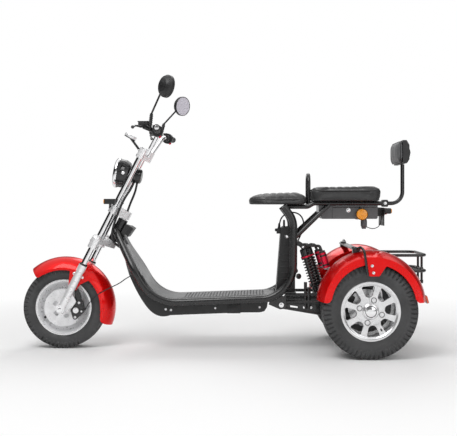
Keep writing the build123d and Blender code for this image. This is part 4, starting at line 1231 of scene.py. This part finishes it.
class SCOOTER_OT_bar_fittings(bpy.types.Operator):
    """Detail the grips, the switches, the levers, the mirrors and the speedometer"""

    bl_idname = "scooter.bar_fittings"
    bl_label = "Bar fittings"

    def execute(self, context):
        grips = bmesh.new()
        ends = bmesh.new()
        switches = bmesh.new()
        buttons = bmesh.new()
        boots = bmesh.new()
        for out in (-1, 1):
            root, along = on_bar(0.119, out)
            profile = [(0.0, 0.0115), (0.0, 0.0185), (0.004, 0.0185), (0.006, 0.0155)]
            for rib in range(15):
                start = 0.008 + rib * 0.0068
                profile += [
                    (start, 0.0150), (start + 0.0015, 0.0162), (start + 0.0042, 0.0162),
                    (start + 0.0055, 0.0150)
                ]
            profile += [(0.112, 0.0158), (0.116, 0.0162), (0.1185, 0.0150), (0.119, 0.0112)]
            ring_of(grips, profile, root, along, 48)
            tip = on_bar(0.001, out)[0]
            ring_of(
                ends, [(0, 0.0), (-0.001, 0.0108), (0.0008, 0.0105), (0.0015, 0.0085), (0.0012, 0.0)],
                tip, along, 40,
            )
            collar = on_bar(0.159, out)[0]
            ring_of(
                switches,
                [(0.0, 0.0262), (0.001, 0.0272), (0.012, 0.0276), (0.0175, 0.0272), (0.0185, 0.0255),
                 (0.0195, 0.0255), (0.0205, 0.0272), (0.026, 0.0276), (0.036, 0.0270), (0.0372, 0.0258),
                 (0.0372, 0.0110)],
                collar, along, 56,
            )
            spot = on_bar(0.140, out)[0]
            soft_box(switches, spot + Vector((-0.012, 0, 0.022)), (0.022, 0.024, 0.014), 0.003)
            ring_of(
                buttons, [(0, 0.0), (0.0, 0.0062), (0.006, 0.0060), (0.0075, 0.0048), (0.008, 0.0)],
                spot + Vector((0.011, 0, -0.0235)), Vector((0.35, 0, -0.93)), 28,
            )
            stalk = Vector((-0.346, out * 0.213, 1.084))
            lift = Vector((0.013, out * 0.037, 0.072))
            for step in range(5):
                foot = stalk + lift * (0.30 + step * 0.13)
                ring_of(
                    boots, [(0, 0.0074), (0.0016, 0.0092), (0.0042, 0.0088), (0.0056, 0.0074)], foot, lift, 28
                )
        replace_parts(keep_piece(grips, "rubber_grips", "steering", "black_plastic", 50), "grips")
        keep_piece(ends, "bar_ends", "steering", "chrome")
        keep_piece(switches, "switch_covers", "steering", "black_plastic", 45)
        keep_piece(buttons, "switch_buttons", "steering", "red_anodised")
        keep_piece(boots, "mirror_boots", "steering", "black_plastic")

        cup = bmesh.new()
        for out in (-1, 1):
            soft_box(cup, Vector((-0.377, out * 0.196, 1.108)), (0.052, 0.044, 0.026), 0.006)
            soft_box(cup, Vector((-0.377, out * 0.196, 1.122)), (0.056, 0.048, 0.005), 0.0018)
        keep_piece(cup, "brake_reservoirs", "steering", "black_plastic", 40)
        fittings(
            "reservoir_screws", "steering", "chrome",
            both_sides([
                ((-0.397, -0.180, 1.1245), (0, 0, 1), 0.0034),
                ((-0.357, -0.212, 1.1245), (0, 0, 1), 0.0034),
            ]),
            socket_bolt,
        )
        gauge = Vector((-0.473, 0, 1.067))
        gauge_up = Vector((0.485, 0, 0.875)).normalized()
        lathe_piece(
            "gauge_body", "steering", "cast_silver", gauge, gauge_up,
            [(-0.0108, 0.0), (-0.0108, 0.020), (-0.009, 0.0285), (-0.002, 0.0315), (0.006, 0.0318),
             (0.0102, 0.0305), (0.0112, 0.0285), (0.0098, 0.0272), (0.0098, 0.0)], 72,
        )
        lathe_piece(
            "gauge_glass", "steering", "black_plastic", gauge + gauge_up * 0.0099, gauge_up,
            [(0, 0.0), (0, 0.0268), (0.0006, 0.0268), (0.0010, 0.020), (0.0012, 0.0)], 72, 60,
        )
        ticks = bmesh.new()
        stand = facing(gauge + gauge_up * 0.0112, gauge_up)
        for count in range(21):
            turn = Matrix.Rotation(radians(-130 + count * 13), 4, "Z")
            long = 0.0042 if count % 5 == 0 else 0.0024
            middle_at = Matrix.Translation((0.0225 - long / 2, 0, 0))
            size = Matrix.Diagonal((long, 0.0006, 0.0003, 1))
            bmesh.ops.create_cube(ticks, size=1.0, matrix=stand @ turn @ middle_at @ size)
        keep_piece(ticks, "gauge_ticks", "steering", "cast_silver")
        return {"FINISHED"}


# ---------------------------------------------------------------- fork
class SCOOTER_OT_fork_fittings(bpy.types.Operator):
    """Add the seals, clamp bolts, tube caps and axle nuts"""

    bl_idname = "scooter.fork_fittings"
    bl_label = "Fork fittings"

    def execute(self, context):
        seals = bmesh.new()
        caps = bmesh.new()
        for out in (-1, 1):
            foot = on_fork(0, out * 0.105, 0.243)
            ring_of(
                seals,
                [(-0.001, 0.0150), (-0.001, 0.0205), (0.004, 0.0205), (0.0055, 0.0195), (0.008, 0.0175),
                 (0.0085, 0.0150)],
                foot, FORK_UP, 48,
            )
            top = on_fork(0, out * 0.055, 0.893)
            ring_of(
                caps,
                [(-0.002, 0.0143), (0.003, 0.0143), (0.0045, 0.0132), (0.0045, 0.0085), (0.0025, 0.0078),
                 (0.0025, 0.0)],
                top, FORK_UP, 48,
            )
        keep_piece(seals, "leg_seals", "steering", "black_plastic")
        keep_piece(caps, "tube_caps", "steering", "chrome")
        hub = FRONT_HUB
        rows = []
        for out in (-1, 1):
            rows.append(((hub.x, out * 0.129, hub.z), (0, out, 0), 0.0135))
        fittings("axle_nuts", "steering", "chrome", rows)
        rows = []
        for out in (-1, 1):
            for up in (0.850, 0.875):
                place = on_fork(-0.0215, out * 0.055, up)
                rows.append((tuple(place), tuple(-FORK_BACK), 0.0052))
            place = on_fork(-0.0225, out * 0.055, 0.553)
            rows.append((tuple(place), tuple(-FORK_BACK), 0.0060))
            place = on_fork(-0.0243, out * 0.105, 0.372)
            rows.append((tuple(place), tuple(-FORK_BACK), 0.0062))
        fittings("clamp_bolts", "steering", "brake_steel", rows, socket_bolt)
        rows = []
        for side_at in (-0.034, 0.034):
            place = on_fork(0.027, side_at, 0.893)
            rows.append((tuple(place), tuple(FORK_UP), 0.0062))
        fittings("bar_cap_bolts", "steering", "brake_steel", rows, socket_bolt)
        caliper_x, caliper_z = hub.x + 0.070, hub.z - 0.010
        lathe_piece(
            "caliper_piston_cover", "steering", "cast_silver", (caliper_x, -0.0905, caliper_z), (0, -1, 0),
            [(0, 0.0145), (0.0022, 0.0140), (0.0026, 0.0120), (0.0012, 0.0105), (0.0012, 0.0060),
             (0.0028, 0.0052), (0.0028, 0.0)], 48,
        )
        fittings(
            "caliper_bolts", "steering", "brake_steel",
            [
                ((caliper_x + 0.015, -0.0851, caliper_z + 0.037), (0, -1, 0), 0.0062),
                ((caliper_x - 0.005, -0.0851, caliper_z - 0.035), (0, -1, 0), 0.0062),
                ((caliper_x + 0.027, -0.0851, caliper_z - 0.006), (0, -1, 0), 0.0048),
            ],
            socket_bolt,
        )
        return {"FINISHED"}


# ---------------------------------------------------------------- mudguards
REAR_GUARD_X = middle("left_rear_fender").x
REAR_GUARD_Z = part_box("left_rear_fender")[1].z - 0.258
REAR_GUARD = Vector((REAR_GUARD_X, 0, REAR_GUARD_Z))
EDGE_HALF = 0.0024
EDGE_STEPS = 72


class SCOOTER_OT_mudguard_fittings(bpy.types.Operator):
    """Add the mudguards' bolts and the strips along their edges"""

    bl_idname = "scooter.mudguard_fittings"
    bl_label = "Mudguard fittings"

    def execute(self, context):
        fittings(
            "front_guard_bolts", "steering", "chrome",
            both_sides([
                ((-0.7413, -0.0822, 0.3780), (0, -1, 0), 0.0075),
                ((-0.7014, -0.0822, 0.3575), (0, -1, 0), 0.0075),
            ]),
            socket_bolt,
        )
        fittings(
            "rear_guard_bolts", "frame", "chrome",
            both_sides([
                ((REAR_GUARD_X - 0.0082, -0.3802, REAR_GUARD_Z + 0.1904), (0, -1, 0), 0.0075),
                ((REAR_GUARD_X - 0.0018, -0.3802, REAR_GUARD_Z + 0.1582), (0, -1, 0), 0.0075),
            ]),
        )
        for name, body, centre, radius, sides, start, stop in (
            ("front_guard_edge", "steering", FRONT_HUB, 0.192, (-0.0805, 0.0805), -4, 119),
            ("left_guard_edge", "frame", REAR_GUARD, 0.199, (-0.3785, -0.1615), 10, 170),
            ("right_guard_edge", "frame", REAR_GUARD, 0.199, (0.1615, 0.3785), 10, 170),
        ):
            work = bmesh.new()
            angle = radians(start)
            for side_at in sides:
                ends = [
                    work.verts.new(centre + Vector((reach * cos(angle), side_at, reach * sin(angle))))
                    for reach in (radius - EDGE_HALF, radius + EDGE_HALF)
                ]
                bmesh.ops.spin(
                    work, geom=ends + [work.edges.new(ends)], cent=centre, axis=(0, -1, 0), dvec=(0, 0, 0),
                    angle=radians(stop - start), steps=EDGE_STEPS,
                    use_merge=False, use_normal_flip=False, use_duplicate=False,
                )
            keep_piece(work, name, body, "red_paint", 60)
        return {"FINISHED"}


# ---------------------------------------------------------------- body
class SCOOTER_OT_body_fittings(bpy.types.Operator):
    """Add the screws, seams, latches, battery details, box bolts and deck grips"""

    bl_idname = "scooter.body_fittings"
    bl_label = "Body fittings"

    def execute(self, context):
        fittings(
            "pan_screws", "frame", "brake_steel",
            both_sides([
                ((-0.281, -0.1141, 0.2040), (0, -1, 0), 0.0058),
                ((-0.2553, -0.1141, 0.2004), (0, -1, 0), 0.0058),
                ((-0.0362, -0.1141, 0.2098), (0, -1, 0), 0.0052),
                ((0.1833, -0.1141, 0.2138), (0, -1, 0), 0.0052),
            ]),
            socket_bolt,
        )
        latch = bmesh.new()
        for out in (-1, 1):
            soft_box(latch, Vector((0.0555, out * 0.1152, 0.207)), (0.066, 0.004, 0.046), 0.0018)
            soft_box(latch, Vector((0.0555, out * 0.1180, 0.207)), (0.040, 0.005, 0.022), 0.0020)
        keep_piece(latch, "pan_latches", "frame", "black_plastic", 40)
        seams = bmesh.new()
        for out in (-1, 1):
            for x, z, tall in ((-0.2720, 0.206, 0.056), (0.1300, 0.217, 0.050)):
                place = Vector((x, out * 0.1142, z))
                soft_box(seams, place, (0.0016, 0.0012, tall), 0.0004, segments=1)
        keep_piece(seams, "pan_seams", "frame", "cord_rubber", 40)
        lathe_piece(
            "battery_lock", "frame", "chrome", (0.318, -0.0748, 0.560), (0, -1, 0),
            [(0, 0.0095), (0.003, 0.0092), (0.0045, 0.0078), (0.0038, 0.0040), (0.0020, 0.0036),
             (0.0020, 0.0)], 36,
        )
        ribs = bmesh.new()
        for out in (-1, 1):
            for count in range(5):
                place = Vector((0.316, out * 0.0755, 0.350 + count * 0.030))
                soft_box(ribs, place, (0.056, 0.003, 0.006), 0.0012)
            soft_box(ribs, Vector((0.318, out * 0.0752, 0.520)), (0.040, 0.002, 0.006), 0.0008)
        soft_box(ribs, Vector((0.318, 0, 0.603)), (0.046, 0.120, 0.006), 0.0015)
        keep_piece(ribs, "battery_ribs", "frame", "black_plastic", 40)
        plug = bmesh.new()
        soft_box(plug, Vector((0.2665, -0.045, 0.594)), (0.012, 0.026, 0.014), 0.003)
        soft_box(plug, Vector((0.282, -0.045, 0.6035)), (0.016, 0.018, 0.008), 0.002)
        keep_piece(plug, "battery_plug", "frame", "black_plastic", 40)
        lathe_piece(
            "plug_sleeve", "frame", "cord_rubber", (0.282, -0.045, 0.604), (0.02, 0, 1),
            [(0, 0.0068), (0.010, 0.0064), (0.020, 0.0048), (0.024, 0.0042), (0.024, 0.0036)], 28,
        )
        fittings(
            "box_bolts", "frame", "chrome",
            both_sides([((0.6266, -0.0782, 0.6935), (0, -1, 0), 0.0105)]), socket_bolt,
        )
        seam = bmesh.new()
        for out in (-1, 1):
            joint = Vector((0.5460, out * 0.0782, 0.6835))
            soft_box(seam, joint, (0.0022, 0.0014, 0.064), 0.0005, segments=1)
            soft_box(seam, Vector((0.6595, out * 0.0786, 0.7080)), (0.220, 0.0030, 0.0035), 0.0010)
            soft_box(seam, Vector((0.6900, out * 0.0850, 0.7030)), (0.018, 0.014, 0.018), 0.0020)
        keep_piece(seam, "box_seams", "frame", "black_metal", 40)
        fittings(
            "pivot_bolts", "frame", "chrome",
            both_sides([
                ((0.2907, -0.1262, 0.2265), (0, -1, 0), 0.0125),
                ((0.3000, -0.1262, 0.2780), (0, -1, 0), 0.0070),
            ]),
        )
        posts = bmesh.new()
        for out in (-1, 1):
            ring_of(
                posts, [(0, 0.0), (0, 0.0125), (0.003, 0.0135), (0.010, 0.0135), (0.013, 0.0115),
                        (0.0135, 0.0)],
                Vector((0.370, out * 0.152, 0.371)), Vector((0.6, out * 0.6, 0)), 32,
            )
        keep_piece(posts, "frame_knobs", "frame", "black_plastic")
        grip_tape = bmesh.new()
        deck_front, deck_low, deck_rise, deck_long = -0.276, 0.258, 0.0208, 0.534
        slope = deck_rise / deck_long
        tilt = Matrix.Rotation(-slope, 4, "Y")
        for row in range(26):
            x = -0.188 + row * 0.0155
            for column in range(-5, 6):
                y = column * 0.0176 + (0.0044 if row % 2 else -0.0044)
                z = deck_low + slope * (x - deck_front)
                bmesh.ops.create_cone(
                    grip_tape, cap_ends=True, cap_tris=False, segments=8,
                    radius1=0.0032, radius2=0.0022, depth=0.0018,
                    matrix=Matrix.Translation((x, y, z + 0.0007)) @ tilt,
                )
        keep_piece(grip_tape, "deck_grips", "frame", "grey_plastic")
        return {"FINISHED"}


# ---------------------------------------------------------------- rear
class SCOOTER_OT_rear_fittings(bpy.types.Operator):
    """Add the suspension bolts, spring seats, rack welds and clamps"""

    bl_idname = "scooter.rear_fittings"
    bl_label = "Rear fittings"

    def execute(self, context):
        down = (Vector((0.470, 0, 0.275)) - Vector((0.399, 0, 0.511))).normalized()
        rings = bmesh.new()
        knobs = bmesh.new()
        bolts = []
        bands = bmesh.new()
        for y, back, tank_back in ((-0.058, 0.0, 0.0), (0.058, 0.030, -0.015)):
            top = Vector((0.399 + back, y, 0.511))
            foot = Vector((0.470 + back, y, 0.275))
            for out in (-1, 1):
                bolts.append(((top.x, y + out * 0.0225, top.z), (0, out, 0), 0.0088))
                bolts.append(((foot.x, y + out * 0.0225, foot.z), (0, out, 0), 0.0100))
            ring_of(
                rings, [(0.049, 0.0205), (0.049, 0.0240), (0.0565, 0.0240), (0.0565, 0.0205),
                        (0.049, 0.0205)], top, down, 48
            )
            tank = Vector((0.498 + tank_back, y, 0.480))
            for start in (0.010, 0.058):
                ring_of(
                    bands,
                    [(start, 0.0172), (start, 0.0182), (start + 0.008, 0.0182), (start + 0.008, 0.0172),
                     (start, 0.0172)],
                    tank, down, 40,
                )
            ring_of(
                knobs, [(0.078, 0.0170), (0.080, 0.0165), (0.086, 0.0120), (0.088, 0.0060), (0.088, 0.0)],
                tank, down, 36
            )
        keep_piece(rings, "spring_rings", "frame", "red_anodised")
        keep_piece(bands, "reservoir_bands", "frame", "black_metal")
        keep_piece(knobs, "reservoir_caps", "frame", "brake_steel")
        fittings("shock_bolts", "frame", "chrome", bolts)
        fittings(
            "arm_bolts", "frame", "chrome",
            both_sides([
                ((0.4045, -0.1032, 0.2120), (0, -1, 0), 0.0065),
                ((0.4377, -0.1032, 0.2105), (0, -1, 0), 0.0065),
            ]),
        )
        low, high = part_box("cargo_rack")
        welds = bmesh.new()
        rack_front, rack_rear = low.x + 0.0075, high.x - 0.0075
        for out in (-1, 1):
            for z in (0.473, 0.396):
                for x, y in ((rack_front, 0.045), (rack_rear, 0.045), (0.840, 0.148)):
                    sign = -1 if z > 0.45 else 1
                    ring_of(
                        welds,
                        [(0.0060, 0.0090), (0.0085, 0.0086), (0.0105, 0.0066), (0.0115, 0.0058)],
                        Vector((x, out * y, z)), Vector((0, 0, sign)), 24,
                    )
        keep_piece(welds, "rack_welds", "frame", "black_metal", 60)
        rubbers = bmesh.new()
        for out in (-1, 1):
            ring_of(
                rubbers, [(-0.004, 0.0), (-0.004, 0.0072), (0.004, 0.0080), (0.012, 0.0080), (0.014, 0.0060),
                          (0.014, 0.0056)],
                Vector((rack_rear, out * 0.045, 0.3302)), UP, 24,
            )
        keep_piece(rubbers, "rack_feet", "frame", "black_plastic")
        clamp = bmesh.new()
        bar = Vector((0.638, 0, 0.511))
        for out in (-1, 1):
            soft_box(clamp, bar + Vector((0.004, out * 0.300, 0.001)), (0.030, 0.022, 0.016), 0.003)
            soft_box(clamp, bar + Vector((-0.003, out * 0.240, 0.0055)), (0.026, 0.030, 0.008), 0.002)
        keep_piece(clamp, "guard_clamps", "frame", "black_metal", 40)
        fittings(
            "guard_clamp_bolts", "frame", "brake_steel",
            both_sides([
                ((0.635, -0.240, 0.5205), (0, 0, 1), 0.0058),
                ((0.642, -0.300, 0.5200), (0, 0, 1), 0.0052),
            ]),
        )
        collar = bmesh.new()
        for place in (Vector((0.808, 0, 0.728)), Vector((0.832, 0, 0.728))):
            ring_of(
                collar, [(-0.005, 0.0102), (-0.005, 0.0150), (-0.0035, 0.0165), (0.0035, 0.0165),
                         (0.005, 0.0150), (0.005, 0.0102)], place, Vector((1, 0, 0)), 36,
            )
        keep_piece(collar, "backrest_collars", "frame", "black_metal")
        fittings(
            "backrest_bolts", "frame", "chrome",
            both_sides([((0.820, -0.0202, 0.728), (0, -1, 0), 0.0080)]),
        )
        fittings(
            "backrest_screws", "frame", "brake_steel",
            both_sides([
                ((0.9222, -0.090, 0.962), (1, 0, 0), 0.0050),
                ((0.9222, -0.090, 1.002), (1, 0, 0), 0.0050),
            ]),
            socket_bolt,
        )
        ends = bmesh.new()
        for out in (-1, 1):
            ring_of(
                ends, [(-0.002, 0.0), (-0.002, 0.0185), (0.001, 0.0189), (0.003, 0.0178), (0.0034, 0.0)],
                Vector((0.303, out * 0.135, 0.7095)), Vector((-0.607, 0, 0.795)), 40,
            )
        keep_piece(ends, "frame_tube_caps", "frame", "black_plastic")
        return {"FINISHED"}


# ---------------------------------------------------------------- stage
def soft_lamp(name, place, target, size, power):
    """A large square lamp that points at a place."""
    light = bpy.data.lights.new(name, "AREA")
    light.size = size
    light.energy = power
    lamp = bpy.data.objects.new(name, light)
    lamp.location = place
    lamp.rotation_euler = (Vector(target) - Vector(place)).to_track_quat("-Z", "Y").to_euler()
    bpy.context.scene.collection.objects.link(lamp)
    return lamp


def pale_world(tree):
    """Soft light from all round: plain white behind, soft boxes in front and above in reflections."""
    background = tree.nodes["Background"]
    background.inputs["Color"].default_value = (1, 1, 1, 1)
    background.inputs["Strength"].default_value = 0.5
    white = tree.nodes.new("ShaderNodeBackground")
    white.inputs["Color"].default_value = (1, 1, 1, 1)
    white.inputs["Strength"].default_value = 1.0
    parts = tree.nodes.new("ShaderNodeSeparateXYZ")
    tree.links.new(place_node(tree), parts.inputs[0])
    across = tree.nodes.new("ShaderNodeMath")
    across.operation = "ABSOLUTE"
    tree.links.new(parts.outputs["X"], across.inputs[0])
    front = range_node(tree, across.outputs[0], 1.0, 0.10, 0.30, 0.62)
    above = range_node(tree, parts.outputs["Z"], 0.0, 1.0, 0.42, 0.66)
    below = range_node(tree, parts.outputs["Z"], 1.0, 0.16, 0.02, 0.24)
    low_part = tree.nodes.new("ShaderNodeMath")
    low_part.operation = "MULTIPLY"
    tree.links.new(front, low_part.inputs[0])
    tree.links.new(below, low_part.inputs[1])
    boxes = tree.nodes.new("ShaderNodeMath")
    boxes.operation = "MAXIMUM"
    tree.links.new(low_part.outputs[0], boxes.inputs[0])
    tree.links.new(above, boxes.inputs[1])
    mirrored = tree.nodes.new("ShaderNodeBackground")
    mirrored.inputs["Color"].default_value = (1, 1, 1, 1)
    tree.links.new(boxes.outputs[0], mirrored.inputs["Strength"])
    rays = tree.nodes.new("ShaderNodeLightPath")
    seen = tree.nodes.new("ShaderNodeMath")
    seen.operation = "MAXIMUM"
    tree.links.new(rays.outputs["Is Camera Ray"], seen.inputs[0])
    tree.links.new(rays.outputs["Is Transmission Ray"], seen.inputs[1])
    glossy = tree.nodes.new("ShaderNodeMixShader")
    tree.links.new(rays.outputs["Is Glossy Ray"], glossy.inputs[0])
    tree.links.new(background.outputs[0], glossy.inputs[1])
    tree.links.new(mirrored.outputs[0], glossy.inputs[2])
    mixed = tree.nodes.new("ShaderNodeMixShader")
    tree.links.new(seen.outputs[0], mixed.inputs[0])
    tree.links.new(glossy.outputs[0], mixed.inputs[1])
    tree.links.new(white.outputs[0], mixed.inputs[2])
    tree.links.new(mixed.outputs[0], tree.nodes["World Output"].inputs["Surface"])


def floor_material(base):
    """Plain pale floor that keeps the shadow near the object and is seen as white farther off."""
    made, tree, shader = new_material("studio_floor")
    where = place_node(tree)
    cloud = noise_node(tree, where, 0.4)
    tint = ramp_node(tree, cloud, [(0.3, shade(base, 0.99)), (0.7, shade(base, 1.01))])
    tree.links.new(tint, shader.inputs["Base Color"])
    shader.inputs["Roughness"].default_value = 0.75
    reach = tree.nodes.new("ShaderNodeVectorMath")
    reach.operation = "LENGTH"
    tree.links.new(where, reach.inputs[0])
    far = range_node(tree, reach.outputs["Value"], 0.0, 1.0, 1.2, 2.6)
    rays = tree.nodes.new("ShaderNodeLightPath")
    seen = tree.nodes.new("ShaderNodeMath")
    seen.operation = "MAXIMUM"
    share = tree.nodes.new("ShaderNodeMath")
    share.operation = "MULTIPLY"
    tree.links.new(rays.outputs["Is Camera Ray"], seen.inputs[0])
    tree.links.new(rays.outputs["Is Transmission Ray"], seen.inputs[1])
    tree.links.new(seen.outputs[0], share.inputs[0])
    tree.links.new(far, share.inputs[1])
    white = tree.nodes.new("ShaderNodeEmission")
    white.inputs["Color"].default_value = (1, 1, 1, 1)
    white.inputs["Strength"].default_value = 1.0
    mixed = tree.nodes.new("ShaderNodeMixShader")
    tree.links.new(share.outputs[0], mixed.inputs[0])
    tree.links.new(shader.outputs["BSDF"], mixed.inputs[1])
    tree.links.new(white.outputs["Emission"], mixed.inputs[2])
    tree.links.new(mixed.outputs[0], tree.nodes["Material Output"].inputs["Surface"])
    return made


def make_floor(settings):
    """A wide flat floor."""
    work = bmesh.new()
    bmesh.ops.create_circle(work, cap_ends=True, segments=96, radius=14.0)
    floor = bare_piece(work, "floor")
    floor.data.materials.append(floor_material(settings.floor_colour))
    return floor


class SCOOTER_OT_stage(bpy.types.Operator):
    """Set the floor, the soft lamps, the pale surroundings and the camera"""

    bl_idname = "scooter.stage"
    bl_label = "Stage"

    def execute(self, context):
        scene = context.scene
        settings = scene.scooter_stage
        scene.view_settings.view_transform = "Standard"
        camera = bpy.data.objects.new("camera", bpy.data.cameras.new("camera"))
        camera.data.lens = settings.camera_lens
        camera.data.sensor_width = 36.0
        camera.location = settings.camera_place
        camera.rotation_euler = (pi / 2, 0, 0)
        camera.data.shift_x, camera.data.shift_y = settings.camera_shift
        scene.collection.objects.link(camera)
        scene.camera = camera

        floor = make_floor(settings)

        world = scene.world or bpy.data.worlds.new("studio")
        scene.world = world
        world.use_nodes = True
        pale_world(world.node_tree)
        soft_lamp("key_lamp", (-1.2, -2.2, 3.6), (0, 0, 0.4), 2.2, 70)
        soft_lamp("fill_lamp", (2.4, -2.8, 1.6), (0, 0, 0.4), 2.2, 22)
        soft_lamp("back_lamp", (0.4, 2.8, 3.0), (0, 0, 0.4), 2.6, 40)
        return {"FINISHED"}


# ---------------------------------------------------------------- panel and order of work
PIECE_OPERATORS = [
    SCOOTER_OT_stage,
    SCOOTER_OT_paint,
    SCOOTER_OT_cords,
    SCOOTER_OT_tyres,
    SCOOTER_OT_cushions,
    SCOOTER_OT_wheel_fittings,
    SCOOTER_OT_lights,
    SCOOTER_OT_bar_fittings,
    SCOOTER_OT_fork_fittings,
    SCOOTER_OT_mudguard_fittings,
    SCOOTER_OT_body_fittings,
    SCOOTER_OT_rear_fittings,
]


class SCOOTER_PT_sidebar(bpy.types.Panel):
    """Settings and builders of the scooter"""

    bl_label = "Scooter"
    bl_idname = "SCOOTER_PT_sidebar"
    bl_space_type = "VIEW_3D"
    bl_region_type = "UI"
    bl_category = "Scooter"

    def draw(self, context):
        for group_name in GROUPS:
            group = getattr(context.scene, group_name)
            for name in group.__annotations__:
                self.layout.prop(group, name)
        for operator in PIECE_OPERATORS:
            self.layout.operator(operator.bl_idname)


GROUPS = {
    "scooter_colours": ScooterColours,
    "scooter_sizes": ScooterSizes,
    "scooter_stage": ScooterStage,
}


def register():
    """Add the classes and the scene's settings."""
    for kind in list(GROUPS.values()) + PIECE_OPERATORS + [SCOOTER_PT_sidebar]:
        bpy.utils.register_class(kind)
    for name, kind in GROUPS.items():
        setattr(bpy.types.Scene, name, bpy.props.PointerProperty(type=kind))


def unregister():
    """Take the scene's settings and the classes away."""
    for name in GROUPS:
        delattr(bpy.types.Scene, name)
    for kind in [SCOOTER_PT_sidebar] + PIECE_OPERATORS[::-1] + list(GROUPS.values())[::-1]:
        bpy.utils.unregister_class(kind)


def main():
    """Register the classes and build every piece in order."""
    register()
    for operator in PIECE_OPERATORS:
        group, name = operator.bl_idname.split(".")
        getattr(getattr(bpy.ops, group), name)()


if __name__ == "__main__":
    main()
